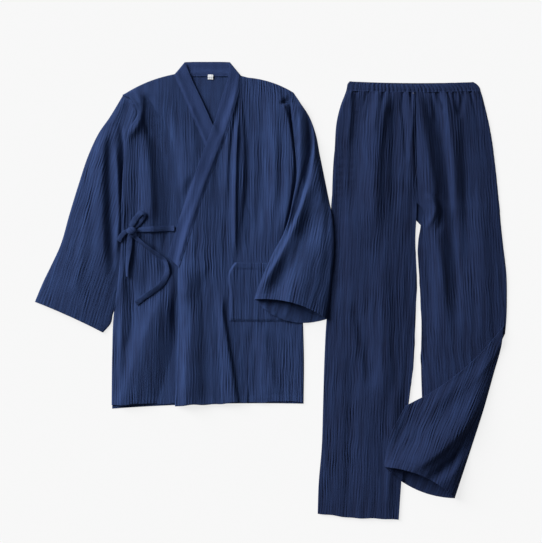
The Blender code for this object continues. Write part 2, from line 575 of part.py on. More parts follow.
def knot(name, pile, material):
    """Lay the bow's knot on the straps' ends: a flattened ball with a flat underside."""
    shape = bmesh.new()
    bmesh.ops.create_uvsphere(shape, u_segments=KNOT_SEGMENTS, v_segments=KNOT_RINGS, radius=1.0)
    x, y = KNOT_CENTRE
    wide, deep, high = KNOT_RADII
    turns = np.linspace(0.0, 2 * math.pi, KNOT_SEGMENTS)
    seat = [(x + reach * wide * math.cos(turn), y + reach * deep * math.sin(turn))
            for turn in turns for reach in (0.0, 0.5, 1.0)]
    floor = pile.clearance(np.array(seat)).max()
    for vertex in shape.verts:
        raised = max(vertex.co.z, -KNOT_FLAT) + KNOT_FLAT
        vertex.co = (x + vertex.co.x * wide, y + vertex.co.y * deep, floor + raised * high)
    bmesh.ops.dissolve_limit(shape, angle_limit=0.001, verts=shape.verts, edges=shape.edges)
    piece = piece_of(name, shape, material, pile)
    pile.add(piece)
    return piece


def waist_waves(shares):
    """Uneven gathers along the front of the waistband."""
    drift = 0.35 * np.sin(2 * math.pi * 3.3 * shares) + 0.25 * np.sin(2 * math.pi * 7.1 * shares)
    size = 1.0 + 0.35 * np.sin(2 * math.pi * 5.3 * shares + 0.8)
    return WAIST_WAVE_RISE * size * np.sin(2 * math.pi * WAIST_WAVES * shares + drift)


def build():
    """Lay every piece of the set, from the floor up."""
    for item in list(bpy.data.objects):
        bpy.data.objects.remove(item)
    collection = new_collection(SET_NAME)
    pile = Pile(collection)
    cloth = new_material("navy_crinkle_cloth", NAVY)
    collar = new_material("navy_collar_cloth", NAVY_COLLAR)
    white = new_material("label_tape", LABEL_WHITE)

    tube_piece("sleeve_right", SLEEVE_RIGHT, 13, 5, 15, pile, cloth, folds=SLEEVE_RIGHT_FOLDS)
    flat_piece("jacket_back", JACKET_BACK, 12, 14, pile, cloth, pressed=True)
    flat_piece("collar_back", COLLAR_BACK, 2, 10, pile, collar, wall=COLLAR_WALL)
    flat_piece("neck_label", LABEL, 2, 2, pile, white, wall=LABEL_WALL)
    flat_piece("trouser_right_back", TROUSER_RIGHT, 5, 12, pile, cloth, pressed=True)
    flat_piece("trouser_left_back", TROUSER_LEFT, 5, 9, pile, cloth, pressed=True)
    flat_piece("front_right", FRONT_RIGHT, 11, 24, pile, cloth, folds=FRONT_RIGHT_FOLDS)
    flat_piece("collar_right", COLLAR_RIGHT, 2, 18, pile, collar, wall=COLLAR_WALL)
    flat_piece("front_left", FRONT_LEFT, 17, 25, pile, cloth, folds=FRONT_LEFT_FOLDS)
    flat_piece("collar_left", COLLAR_LEFT, 2, 22, pile, collar, wall=COLLAR_WALL)
    flat_piece("pocket", POCKET, 9, 7, pile, cloth)
    flat_piece("trouser_right_front", TROUSER_RIGHT, 14, 26, pile, cloth,
               folds=TROUSER_RIGHT_FOLDS)
    flat_piece("trouser_left_front", TROUSER_LEFT, 14, 22, pile, cloth,
               folds=TROUSER_LEFT_FOLDS)
    tube_piece("trouser_left_lower", LOWER_LEG, 11, 11, 11, pile, cloth, folds=LOWER_LEG_FOLDS,
               folded_start=True)
    tube_piece("waistband", WAISTBAND, WAIST_WAVES * WAIST_SEGMENTS_PER_WAVE, 16, 1, pile, cloth,
               wall=WAISTBAND_WALL, waves=waist_waves)
    tube_piece("sleeve_left", SLEEVE_LEFT, 12, 7, 18, pile, cloth, folds=SLEEVE_LEFT_FOLDS)
    strap("tie_front", TIE_FRONT, 8, pile, cloth)
    strap("tie_side", TIE_SIDE, 5, pile, cloth)
    strap("tie_loop", TIE_LOOP, 14, pile, cloth)
    strap("tie_tail_short", TAIL_SHORT, 10, pile, cloth)
    strap("tie_tail_long", TAIL_LONG, 24, pile, cloth)
    knot("tie_knot", pile, cloth)


build()
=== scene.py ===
"""Samue set laid flat: navy crinkled cloth over the frame's solids, on a pale studio floor.

Metres, +Z up, in the row frame. The jacket lies to the left (-X), the trousers to the right, collar
and waistband towards +Y. Right and left in the names are the wearer's. Every cloth piece is a fine
lofted grid between two edges, laid on what lies below it, with creases listed one by one and the
fine crinkles of double gauze along its grain.
"""

import logging
import math
from dataclasses import dataclass, field
from enum import Enum
from typing import NamedTuple, Optional, Sequence, Union

import bmesh
import bpy
import numpy as np
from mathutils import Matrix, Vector


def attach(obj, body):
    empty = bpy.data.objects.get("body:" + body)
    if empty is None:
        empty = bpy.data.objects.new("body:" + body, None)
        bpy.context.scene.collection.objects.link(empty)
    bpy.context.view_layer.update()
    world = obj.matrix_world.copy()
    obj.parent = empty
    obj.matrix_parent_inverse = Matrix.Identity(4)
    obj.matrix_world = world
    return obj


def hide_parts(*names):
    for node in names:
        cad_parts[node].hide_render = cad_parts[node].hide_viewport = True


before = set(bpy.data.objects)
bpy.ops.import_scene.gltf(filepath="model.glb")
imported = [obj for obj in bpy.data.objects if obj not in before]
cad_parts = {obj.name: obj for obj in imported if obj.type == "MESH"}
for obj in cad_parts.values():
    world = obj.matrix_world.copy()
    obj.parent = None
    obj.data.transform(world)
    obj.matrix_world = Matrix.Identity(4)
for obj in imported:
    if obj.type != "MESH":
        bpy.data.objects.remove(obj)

log = logging.getLogger("samue_set")

Grid = np.ndarray
Colour = tuple[float, float, float]

ROOT_BODY = "root"
FLOOR_NAME = "studio_floor"
MAP_CELL = 0.001
MAP_LOW = (-0.56, -0.55)
MAP_SIZE = (1120, 1100)
LAY_GAP = 0.0003
SPLAT_STEPS = 3
BLEND_DEPTH = 0.0008
CROWN_POWER = 0.7
CREASE_STEPS = 101
CREASE_END_SHARE = 0.22
WELD_DISTANCE = 0.00001
EDGE_STEPS = (0.0, 0.0004, 0.0010, 0.0018)
EDGE_REACH = 1.6
ARC_STEPS = 5
FOLD_TURNS = (math.pi / 2, math.pi / 3, math.pi / 6)
HEM_RADIUS = 0.0016
HEM_KEEP = 0.7
HEM_WAVE_POWER = 14
HIDDEN_RADIUS = 0.002
CLOSING_RADIUS = 0.003
SIDE_SEAM = 0.0045
GROOVE_DEPTH = 0.0005
GROOVE_WIDTH = 0.0014
FLUSH_GAP = 0.0002
BARE_HEIGHT = 0.0005
STITCH_PITCH = 0.0034
STITCH_LENGTH = 0.0024
STITCH_WIDTH = 0.0005
STITCH_SINK = 0.0002
UP = np.array((0.0, 0.0, 1.0))
TINY = 1e-6
ROUNDING = 1e-9


class Section(NamedTuple):
    """One line across a flat panel: its ends and their heights, the middle's rise and the bow."""

    left_x: float
    left_y: float
    left_lift: float
    right_x: float
    right_y: float
    right_lift: float
    crown: float
    bow: float


class Ring(NamedTuple):
    """One line across a flattened tube: its ends, height, and the bows of its two layers."""

    left_x: float
    left_y: float
    right_x: float
    right_y: float
    height: float
    bow_under: float
    bow_over: float


class Crease(NamedTuple):
    """A ridge, or a trough where rise is below 0, listed from its upper end to its lower end.

    West and east are its half-widths on the two sides, so that one side can be steeper.
    """

    start_x: float
    start_y: float
    mid_x: float
    mid_y: float
    end_x: float
    end_y: float
    rise: float
    west: float
    east: float


class Calm(NamedTuple):
    """A round zone in which the crinkle is pulled flat by a share."""

    x: float
    y: float
    half_x: float
    half_y: float
    share: float


class Stop(NamedTuple):
    """A point on a strap's middle line: lift above what it lies on, width and roll in degrees."""

    x: float
    y: float
    lift: float
    width: float
    roll: float


SECTION_PLACES = (0, 1, 3, 4)
RING_PLACES = (0, 1, 2, 3)
STOP_PLACES = (0, 1, 2)

STRAP_WIDTH = 0.0124

JACKET_BACK = (
    Section(-0.325, 0.427, 0.0, 0.044, 0.43, 0.0, 0.0, 0.054),
    Section(-0.3, 0.394, 0.0, 0.07, 0.38, 0.0, 0.0, 0.02),
    Section(-0.314, 0.35, 0.0, 0.072, 0.33, 0.0, 0.0, 0.004),
    Section(-0.323, 0.271, 0.0, 0.07, 0.25, 0.0, 0.0, 0.0),
    Section(-0.326, 0.114, 0.0, 0.066, 0.114, 0.0, 0.0, 0.0),
    Section(-0.341, -0.059, 0.0, 0.071, -0.07, 0.0, 0.0, 0.0),
    Section(-0.349, -0.154, 0.0, 0.073, -0.154, 0.0, 0.0, 0.0),
    Section(-0.351, -0.261, 0.0, 0.072, -0.25, 0.0, 0.0, 0.005),
)

FRONT_RIGHT = (
    Section(-0.328, 0.431, 0.001, -0.206, 0.479, 0.0, 0.003, 0.007),
    Section(-0.309, 0.422, 0.005, -0.195, 0.452, 0.001, 0.005, 0.0),
    Section(-0.294, 0.394, 0.007, -0.178, 0.412, 0.002, 0.005, 0.0),
    Section(-0.314, 0.352, 0.004, -0.152, 0.352, 0.002, 0.007, 0.0),
    Section(-0.326, 0.271, 0.001, -0.119, 0.271, 0.002, 0.011, 0.0),
    Section(-0.329, 0.2, 0.001, -0.092, 0.2, 0.001, 0.012, 0.0),
    Section(-0.33, 0.114, 0.001, -0.063, 0.118, 0.001, 0.012, 0.0),
    Section(-0.34, 0.001, 0.001, -0.047, 0.02, 0.001, 0.011, 0.0),
    Section(-0.348, -0.059, 0.001, -0.05, -0.059, 0.001, 0.011, 0.0),
    Section(-0.351, -0.154, 0.001, -0.053, -0.154, 0.001, 0.01, 0.0),
    Section(-0.352, -0.253, 0.001, -0.053, -0.247, 0.001, 0.006, 0.001),
)

TROUSER_RIGHT_BACK = (
    Section(0.169, 0.439, 0.0, 0.315, 0.435, 0.0, 0.0, 0.0),
    Section(0.142, 0.322, 0.0, 0.32, 0.322, 0.0, 0.0, 0.0),
    Section(0.134, 0.19, 0.0, 0.323, 0.19, 0.0, 0.0, 0.0),
    Section(0.131, 0.12, 0.0, 0.318, 0.123, 0.0, 0.0, 0.0),
    Section(0.131, 0.001, 0.0, 0.321, 0.001, 0.0, 0.0, 0.0),
    Section(0.119, -0.15, 0.0, 0.314, -0.16, 0.0, 0.0, 0.0),
    Section(0.113, -0.345, 0.0, 0.293, -0.345, 0.0, 0.0, 0.0),
    Section(0.104, -0.492, 0.0, 0.281, -0.503, 0.0, 0.0, -0.003),
)

TROUSER_LEFT_BACK = (
    Section(0.313, 0.435, 0.0, 0.461, 0.438, 0.0, 0.0, 0.0),
    Section(0.316, 0.35, 0.0, 0.484, 0.35, 0.0, 0.0, 0.0),
    Section(0.318, 0.265, 0.0, 0.495, 0.27, 0.0, 0.0, 0.0),
    Section(0.317, 0.18, 0.0, 0.503, 0.19, 0.0, 0.0, 0.0),
    Section(0.318, 0.156, 0.0, 0.506, 0.155, 0.0, 0.0, 0.0),
    Section(0.33, 0.145, 0.0, 0.508, 0.14, 0.0, 0.0, 0.0),
    Section(0.326, 0.11, 0.0, 0.51, 0.115, 0.0, 0.0, 0.0),
    Section(0.329, 0.015, 0.0, 0.519, 0.035, 0.0, 0.0, 0.0),
    Section(0.333, -0.07, 0.0, 0.52, -0.02, 0.0, 0.0, 0.0),
    Section(0.335, -0.24, 0.0, 0.516, -0.09, 0.0, 0.0, -0.026),
)

COLLAR_BACK = (
    Section(-0.212, 0.4745, 0.0, -0.189, 0.5045, 0.0005, 0.0, 0.0),
    Section(-0.18, 0.473, 0.0, -0.172, 0.505, 0.001, 0.0, 0.0),
    Section(-0.139, 0.473, 0.0, -0.139, 0.505, 0.0015, 0.0, 0.0),
    Section(-0.098, 0.473, 0.0, -0.107, 0.505, 0.001, 0.0, 0.0),
    Section(-0.069, 0.474, 0.0, -0.092, 0.5045, 0.0005, 0.0, 0.0),
)

COLLAR_RIGHT = (
    Section(-0.214, 0.4755, 0.0, -0.19, 0.5045, 0.0, 0.001, 0.0),
    Section(-0.203, 0.451, 0.001, -0.173, 0.464, 0.001, 0.001, 0.0),
    Section(-0.185, 0.41, 0.001, -0.153, 0.422, 0.003, 0.001, 0.0),
    Section(-0.163, 0.36, 0.001, -0.13, 0.371, 0.003, 0.001, 0.0),
    Section(-0.146, 0.321, 0.001, -0.114, 0.333, 0.002, 0.001, 0.0),
    Section(-0.108, 0.222, 0.0, -0.076, 0.236, 0.0, 0.001, 0.0),
    Section(-0.073, 0.123, 0.0, -0.04, 0.135, 0.0, 0.001, 0.0),
    Section(-0.055, 0.05, 0.0, -0.021, 0.058, 0.0, 0.001, 0.0),
)

FRONT_LEFT = (
    Section(-0.073, 0.471, 0.0, 0.05, 0.437, 0.001, 0.003, 0.009),
    Section(-0.077, 0.44, 0.001, 0.07, 0.405, 0.002, 0.006, 0.002),
    Section(-0.099, 0.374, 0.001, 0.073, 0.346, 0.002, 0.007, 0.0),
    Section(-0.121, 0.314, 0.001, 0.072, 0.296, 0.001, 0.008, 0.0),
    Section(-0.162, 0.202, 0.001, 0.068, 0.204, 0.001, 0.008, 0.0),
    Section(-0.182, 0.141, 0.001, 0.064, 0.143, 0.001, 0.007, 0.0),
    Section(-0.204, 0.052, 0.001, 0.066, 0.052, 0.001, 0.006, 0.0),
    Section(-0.204, -0.021, 0.002, 0.069, -0.021, 0.001, 0.006, 0.0),
    Section(-0.208, -0.131, 0.002, 0.071, -0.131, 0.001, 0.006, 0.0),
    Section(-0.212, -0.256, 0.001, 0.07, -0.246, 0.001, 0.004, 0.003),
)

COLLAR_LEFT = (
    Section(-0.091, 0.5045, 0.0, -0.066, 0.474, 0.0, 0.001, 0.0),
    Section(-0.094, 0.474, 0.001, -0.067, 0.456, 0.001, 0.001, 0.0),
    Section(-0.108, 0.428, 0.002, -0.076, 0.418, 0.001, 0.001, 0.0),
    Section(-0.129, 0.359, 0.002, -0.097, 0.349, 0.001, 0.001, 0.0),
    Section(-0.146, 0.316, 0.002, -0.114, 0.304, 0.001, 0.001, 0.0),
    Section(-0.175, 0.234, 0.001, -0.145, 0.222, 0.001, 0.001, 0.0),
    Section(-0.201, 0.162, 0.001, -0.169, 0.15, 0.001, 0.001, 0.0),
    Section(-0.228, 0.074, 0.001, -0.203, 0.051, 0.001, 0.001, 0.0),
)

POCKET = (
    Section(-0.08, 0.062, 0.0, 0.044, 0.06, 0.0, 0.0015, 0.0),
    Section(-0.091, 0.046, 0.0, 0.045, 0.046, 0.0, 0.0015, 0.0),
    Section(-0.092, -0.01, 0.0, 0.046, -0.01, 0.0, 0.0015, 0.0),
    Section(-0.092, -0.068, 0.0, 0.046, -0.069, 0.0, 0.0005, 0.0),
)

LABEL = (
    Section(-0.1393, 0.4765, 0.0, -0.1275, 0.4765, 0.0, 0.0, 0.0),
    Section(-0.1393, 0.466, 0.0, -0.1275, 0.4658, 0.0, 0.0, 0.0),
)

SLEEVE_RIGHT = (
    Ring(-0.3262, 0.4325, -0.29, 0.402, 0.006, 0.0, 0.0),
    Ring(-0.356, 0.383, -0.289, 0.36, 0.009, 0.0, 0.0),
    Ring(-0.379, 0.35, -0.292, 0.318, 0.011, 0.0, 0.0),
    Ring(-0.402, 0.302, -0.297, 0.262, 0.012, 0.0, 0.0),
    Ring(-0.426, 0.231, -0.303, 0.19, 0.012, 0.0, 0.0),
    Ring(-0.445, 0.169, -0.309, 0.128, 0.012, 0.0, 0.0),
    Ring(-0.465, 0.1, -0.32, 0.052, 0.012, 0.0, 0.0),
    Ring(-0.487, 0.052, -0.334, -0.008, 0.012, 0.0, 0.0),
    Ring(-0.504, 0.017, -0.349, -0.052, 0.011, 0.0, 0.0),
    Ring(-0.515, -0.009, -0.3545, -0.074, 0.011, 0.001, 0.002),
    Ring(-0.5215, -0.025, -0.371, -0.093, 0.01, 0.002, 0.003),
)

SLEEVE_LEFT = (
    Ring(0.044, 0.424, 0.059, 0.422, 0.008, 0.0, 0.0),
    Ring(0.0455, 0.381, 0.086, 0.381, 0.012, 0.0, 0.0),
    Ring(0.049, 0.345, 0.099, 0.345, 0.014, 0.0, 0.0),
    Ring(0.054, 0.299, 0.108, 0.299, 0.015, 0.0, 0.0),
    Ring(0.056, 0.248, 0.118, 0.25, 0.015, 0.0, 0.0),
    Ring(0.048, 0.202, 0.127, 0.205, 0.015, 0.0, 0.0),
    Ring(0.0395, 0.16, 0.135, 0.165, 0.016, 0.0, 0.0),
    Ring(0.026, 0.122, 0.139, 0.122, 0.017, 0.0, 0.0),
    Ring(0.006, 0.086, 0.139, 0.086, 0.019, 0.0, 0.002),
    Ring(-0.013, 0.045, 0.135, 0.042, 0.022, -0.004, 0.005),
    Ring(-0.027, 0.01, 0.13, -0.008, 0.026, -0.013, 0.01),
    Ring(-0.037, -0.019, 0.1235, -0.063, 0.031, -0.027, 0.015),
)

TROUSER_RIGHT = (
    Section(0.1664, 0.4419, 0.002, 0.313, 0.4379, 0.003, 0.0062, -0.001),
    Section(0.162, 0.43, 0.0015, 0.314, 0.426, 0.0035, 0.007, -0.001),
    Section(0.156, 0.415, 0.001, 0.3145, 0.412, 0.004, 0.0075, 0.0),
    Section(0.146, 0.378, 0.001, 0.3165, 0.378, 0.005, 0.008, 0.0),
    Section(0.141, 0.322, 0.001, 0.3185, 0.322, 0.005, 0.008, 0.0),
    Section(0.139, 0.255, 0.001, 0.3215, 0.255, 0.005, 0.007, 0.0),
    Section(0.133, 0.19, 0.001, 0.3225, 0.19, 0.003, 0.007, 0.0),
    Section(0.131, 0.123, 0.001, 0.319, 0.123, 0.001, 0.008, 0.0),
    Section(0.13, 0.001, 0.001, 0.322, 0.001, 0.001, 0.008, 0.0),
    Section(0.123, -0.061, 0.001, 0.318, -0.061, 0.001, 0.008, 0.0),
    Section(0.118, -0.15, 0.001, 0.315, -0.16, 0.001, 0.008, 0.0),
    Section(0.115, -0.25, 0.001, 0.303, -0.251, 0.001, 0.008, 0.0),
    Section(0.112, -0.345, 0.001, 0.294, -0.345, 0.001, 0.007, 0.0),
    Section(0.105, -0.43, 0.001, 0.287, -0.432, 0.001, 0.006, 0.0),
    Section(0.103, -0.493, 0.001, 0.282, -0.505, 0.001, 0.004, -0.003),
)

TROUSER_LEFT = (
    Section(0.3125, 0.4379, 0.0024, 0.4626, 0.4419, 0.002, 0.0056, -0.001),
    Section(0.3135, 0.426, 0.0052, 0.467, 0.429, 0.0015, 0.0068, -0.001),
    Section(0.314, 0.405, 0.0068, 0.473, 0.405, 0.001, 0.0075, 0.0),
    Section(0.316, 0.35, 0.0078, 0.485, 0.35, 0.001, 0.008, 0.0),
    Section(0.32, 0.265, 0.0078, 0.496, 0.27, 0.001, 0.008, 0.0),
    Section(0.3222, 0.193, 0.0055, 0.5035, 0.197, 0.001, 0.007, 0.0),
    Section(0.3348, 0.18, 0.006, 0.505, 0.184, 0.001, 0.007, 0.0),
    Section(0.3328, 0.155, 0.002, 0.507, 0.155, 0.001, 0.008, 0.0),
    Section(0.325, 0.11, 0.001, 0.511, 0.115, 0.001, 0.008, 0.0),
    Section(0.328, 0.015, 0.001, 0.52, 0.035, 0.001, 0.008, 0.0),
    Section(0.332, -0.07, 0.001, 0.521, -0.02, 0.001, 0.008, 0.0),
    Section(0.331, -0.155, 0.001, 0.52, -0.06, 0.001, 0.007, -0.008),
    Section(0.334, -0.262, 0.001, 0.517, -0.095, 0.001, 0.004, -0.026),
)

LOWER_LEG = (
    Ring(0.296, -0.255, 0.513, -0.078, 0.009, -0.018, -0.018),
    Ring(0.281, -0.282, 0.508, -0.124, 0.012, -0.016, -0.016),
    Ring(0.263, -0.315, 0.491, -0.187, 0.013, -0.012, -0.012),
    Ring(0.256, -0.345, 0.47, -0.262, 0.019, -0.01, -0.004),
    Ring(0.251, -0.37, 0.445, -0.34, 0.025, -0.012, 0.006),
    Ring(0.249, -0.387, 0.406, -0.459, 0.032, -0.018, 0.017),
)

WAISTBAND = (
    Ring(0.1735, 0.462, 0.447, 0.4605, 0.006, -0.003, -0.0062),
    Ring(0.169, 0.456, 0.4545, 0.456, 0.008, -0.003, -0.0052),
    Ring(0.1675, 0.448, 0.4615, 0.447, 0.0092, -0.003, -0.004),
    Ring(0.166, 0.4412, 0.463, 0.4412, 0.0095, -0.004, -0.004),
)

TIE_FRONT = (
    Stop(-0.2125, 0.137, 0.0, STRAP_WIDTH, 0.0),
    Stop(-0.235, 0.1365, 0.0, STRAP_WIDTH, 0.0),
    Stop(-0.262, 0.135, 0.001, 0.012, 0.0),
    Stop(-0.288, 0.134, 0.0, 0.011, 0.0),
    Stop(-0.302, 0.133, 0.0, 0.01, 0.0),
)

TIE_SIDE = (
    Stop(-0.335, 0.108, 0.0, 0.011, 0.0),
    Stop(-0.329, 0.12, 0.001, 0.011, 0.0),
    Stop(-0.32, 0.129, 0.0, 0.01, 0.0),
    Stop(-0.312, 0.132, 0.0, 0.009, 0.0),
)

TIE_LOOP = (
    Stop(-0.3035, 0.137, 0.0000, 0.01, 0.0),
    Stop(-0.2935, 0.147, 0.0000, STRAP_WIDTH, 0.0),
    Stop(-0.284, 0.159, 0.001, STRAP_WIDTH, 0.0),
    Stop(-0.28, 0.166, 0.0026, STRAP_WIDTH, 15.0),
    Stop(-0.2845, 0.1705, 0.0042, STRAP_WIDTH, 15.0),
    Stop(-0.2945, 0.162, 0.0044, STRAP_WIDTH, 0.0),
    Stop(-0.3025, 0.151, 0.0044, STRAP_WIDTH, 0.0),
    Stop(-0.3075, 0.14, 0.0044, 0.01, 0.0),
)

TAIL_SHORT = (
    Stop(-0.3095, 0.123, 0.0, 0.01, 0.0),
    Stop(-0.311, 0.11, 0.0, STRAP_WIDTH, 0.0),
    Stop(-0.314, 0.08, 0.0, 0.011, 12.0),
    Stop(-0.3165, 0.056, 0.0, 0.008, 30.0),
    Stop(-0.317, 0.03, 0.0, 0.005, 30.0),
)

TAIL_LONG = (
    Stop(-0.306, 0.125, 0.0, 0.008, 0.0),
    Stop(-0.297, 0.116, 0.0, 0.01, 30.0),
    Stop(-0.28, 0.102, 0.0, 0.011, 48.0),
    Stop(-0.262, 0.088, 0.0, 0.011, 50.0),
    Stop(-0.246, 0.0765, 0.0, 0.011, 46.0),
    Stop(-0.235, 0.067, 0.0, 0.0105, 36.0),
    Stop(-0.23, 0.055, 0.0, 0.0105, 28.0),
    Stop(-0.229, 0.04, 0.0, 0.0115, 10.0),
    Stop(-0.234, 0.025, 0.0, STRAP_WIDTH, -8.0),
    Stop(-0.243, 0.012, 0.0, STRAP_WIDTH, -14.0),
    Stop(-0.258, 0.0000, 0.0, STRAP_WIDTH, -16.0),
    Stop(-0.277, -0.013, 0.0, STRAP_WIDTH, -14.0),
    Stop(-0.298, -0.028, 0.0, STRAP_WIDTH, -8.0),
)

SLEEVE_RIGHT_CREASES = (
    Crease(-0.362, 0.364, -0.373, 0.233, -0.365, -0.003, 0.0065, 0.022, 0.011),
    Crease(-0.356, 0.348, -0.356, 0.2, -0.347, 0.019, -0.004, 0.008, 0.007),
    Crease(-0.345, 0.335, -0.335, 0.2, -0.343, 0.063, 0.005, 0.006, 0.006),
    Crease(-0.332, 0.372, -0.325, 0.284, -0.329, 0.165, -0.0055, 0.008, 0.004),
    Crease(-0.4, 0.189, -0.415, 0.09, -0.435, -0.021, 0.0024, 0.012, 0.012),
    Crease(-0.325, 0.428, -0.338, 0.394, -0.356, 0.359, 0.0025, 0.008, 0.008),
    Crease(-0.318, 0.448, -0.298, 0.394, -0.329, 0.324, 0.005, 0.011, 0.005),
)

FRONT_RIGHT_CREASES = (
    Crease(-0.312, 0.448, -0.283, 0.397, -0.318, 0.328, 0.004, 0.007, 0.007),
    Crease(-0.281, 0.439, -0.265, 0.39, -0.276, 0.333, -0.0045, 0.006, 0.01),
    Crease(-0.287, 0.428, -0.214, 0.24, -0.241, -0.043, -0.012, 0.034, 0.022),
    Crease(-0.298, 0.403, -0.27, 0.277, -0.267, 0.112, 0.0075, 0.022, 0.012),
    Crease(-0.179, 0.421, -0.175, 0.355, -0.166, 0.288, 0.0015, 0.01, 0.014),
    Crease(-0.245, 0.129, -0.267, 0.063, -0.276, -0.021, -0.003, 0.014, 0.016),
    Crease(-0.179, 0.187, -0.201, 0.041, -0.201, -0.109, -0.0095, 0.013, 0.008),
    Crease(-0.166, 0.262, -0.201, 0.165, -0.245, 0.019, -0.007, 0.012, 0.006),
    Crease(-0.263, 0.103, -0.223, 0.054, -0.179, 0.019, -0.005, 0.007, 0.006),
    Crease(-0.179, -0.003, -0.201, -0.136, -0.228, -0.322, -0.012, 0.036, 0.012),
    Crease(-0.232, -0.003, -0.285, -0.127, -0.347, -0.322, 0.008, 0.018, 0.04),
    Crease(-0.312, 0.019, -0.307, -0.061, -0.32, -0.14, -0.0035, 0.007, 0.012),
    Crease(-0.325, 0.078, -0.329, -0.065, -0.336, -0.238, 0.003, 0.006, 0.008),
)

FRONT_LEFT_CREASES = (
    Crease(-0.067, 0.452, -0.093, 0.333, -0.097, 0.182, 0.004, 0.012, 0.004),
    Crease(-0.071, 0.403, -0.078, 0.244, -0.078, 0.059, 0.006, 0.006, 0.0035),
    Crease(-0.063, 0.47, -0.051, 0.288, -0.066, 0.061, -0.007, 0.007, 0.026),
    Crease(-0.108, 0.377, -0.115, 0.266, -0.126, 0.134, -0.002, 0.01, 0.014),
    Crease(0.007, 0.456, 0.048, 0.288, 0.013, 0.098, 0.0075, 0.018, 0.005),
    Crease(0.038, 0.434, 0.046, 0.381, 0.057, 0.28, -0.0045, 0.004, 0.004),
    Crease(0.018, 0.408, 0.042, 0.418, 0.066, 0.408, -0.007, 0.004, 0.0045),
    Crease(-0.029, 0.443, -0.018, 0.288, -0.029, 0.112, -0.005, 0.012, 0.014),
    Crease(0.002, 0.43, 0.011, 0.311, 0.002, 0.134, 0.003, 0.01, 0.01),
    Crease(-0.197, 0.072, -0.186, -0.076, -0.188, -0.322, 0.0085, 0.012, 0.034),
    Crease(-0.152, 0.05, -0.126, -0.098, -0.126, -0.322, -0.0055, 0.028, 0.014),
    Crease(-0.113, 0.006, -0.095, -0.131, -0.069, -0.322, 0.005, 0.022, 0.008),
    Crease(-0.104, -0.017, -0.084, -0.136, -0.051, -0.322, -0.0045, 0.005, 0.026),
    Crease(-0.02, -0.076, -0.007, -0.154, 0.011, -0.246, 0.0026, 0.014, 0.012),
    Crease(-0.046, -0.076, -0.038, -0.154, -0.029, -0.246, -0.0024, 0.012, 0.012),
)

SLEEVE_LEFT_CREASES = (
    Crease(0.08, 0.412, 0.084, 0.271, 0.027, 0.112, -0.01, 0.011, 0.004),
    Crease(0.091, 0.39, 0.095, 0.288, 0.077, 0.2, 0.003, 0.006, 0.02),
    Crease(0.062, 0.403, 0.064, 0.322, 0.055, 0.231, 0.0034, 0.004, 0.008),
    Crease(0.027, 0.41, 0.044, 0.419, 0.064, 0.409, -0.005, 0.004, 0.004),
    Crease(0.08, 0.253, 0.042, 0.12, -0.046, -0.021, 0.008, 0.005, 0.014),
    Crease(0.091, 0.191, 0.055, 0.076, -0.015, -0.034, -0.008, 0.019, 0.024),
    Crease(0.073, 0.129, 0.044, 0.05, 0.035, -0.092, 0.006, 0.012, 0.04),
    Crease(0.104, 0.288, 0.115, 0.167, 0.104, 0.001, 0.0024, 0.014, 0.012),
)

TROUSER_RIGHT_CREASES = (
    Crease(0.177, 0.448, 0.175, 0.388, 0.168, 0.311, 0.0024, 0.008, 0.007),
    Crease(0.201, 0.439, 0.186, 0.333, 0.179, 0.145, -0.005, 0.014, 0.022),
    Crease(0.261, 0.443, 0.234, 0.311, 0.232, 0.101, 0.008, 0.024, 0.013),
    Crease(0.272, 0.443, 0.27, 0.311, 0.267, 0.123, -0.0045, 0.009, 0.022),
    Crease(0.221, 0.443, 0.217, 0.412, 0.206, 0.359, -0.0028, 0.006, 0.008),
    Crease(0.236, 0.443, 0.232, 0.403, 0.221, 0.333, 0.0026, 0.006, 0.006),
    Crease(0.283, 0.443, 0.294, 0.35, 0.299, 0.277, -0.0028, 0.004, 0.007),
    Crease(0.309, 0.443, 0.312, 0.333, 0.309, 0.189, 0.003, 0.01, 0.009),
    Crease(0.179, -0.021, 0.208, -0.12, 0.223, -0.224, -0.0045, 0.014, 0.018),
    Crease(0.155, 0.366, 0.15, 0.156, 0.144, -0.065, -0.003, 0.008, 0.014),
    Crease(0.236, 0.09, 0.25, -0.087, 0.236, -0.308, 0.004, 0.02, 0.018),
    Crease(0.179, -0.131, 0.175, -0.286, 0.17, -0.551, -0.003, 0.012, 0.018),
    Crease(0.281, -0.198, 0.267, -0.33, 0.254, -0.562, 0.003, 0.012, 0.012),
)

TROUSER_LEFT_CREASES = (
    Crease(0.309, 0.483, 0.356, 0.222, 0.387, -0.131, 0.007, 0.018, 0.013),
    Crease(0.338, 0.474, 0.391, 0.231, 0.413, -0.131, -0.0065, 0.016, 0.01),
    Crease(0.38, 0.443, 0.398, 0.328, 0.404, 0.129, 0.0055, 0.008, 0.018),
    Crease(0.367, 0.436, 0.376, 0.417, 0.382, 0.39, -0.0035, 0.004, 0.004),
    Crease(0.345, 0.443, 0.349, 0.417, 0.358, 0.368, 0.0026, 0.005, 0.005),
    Crease(0.4, 0.439, 0.407, 0.412, 0.413, 0.381, -0.003, 0.005, 0.006),
    Crease(0.424, 0.443, 0.42, 0.412, 0.415, 0.377, -0.003, 0.005, 0.006),
    Crease(0.418, 0.377, 0.429, 0.2, 0.424, -0.021, -0.004, 0.012, 0.02),
    Crease(0.334, 0.211, 0.36, 0.182, 0.338, 0.129, 0.0045, 0.006, 0.006),
    Crease(0.347, 0.218, 0.378, 0.178, 0.354, 0.116, -0.003, 0.006, 0.01),
    Crease(0.347, 0.09, 0.349, -0.021, 0.34, -0.18, -0.0024, 0.01, 0.014),
    Crease(0.457, 0.244, 0.469, 0.045, 0.466, -0.131, 0.0024, 0.016, 0.014),
)

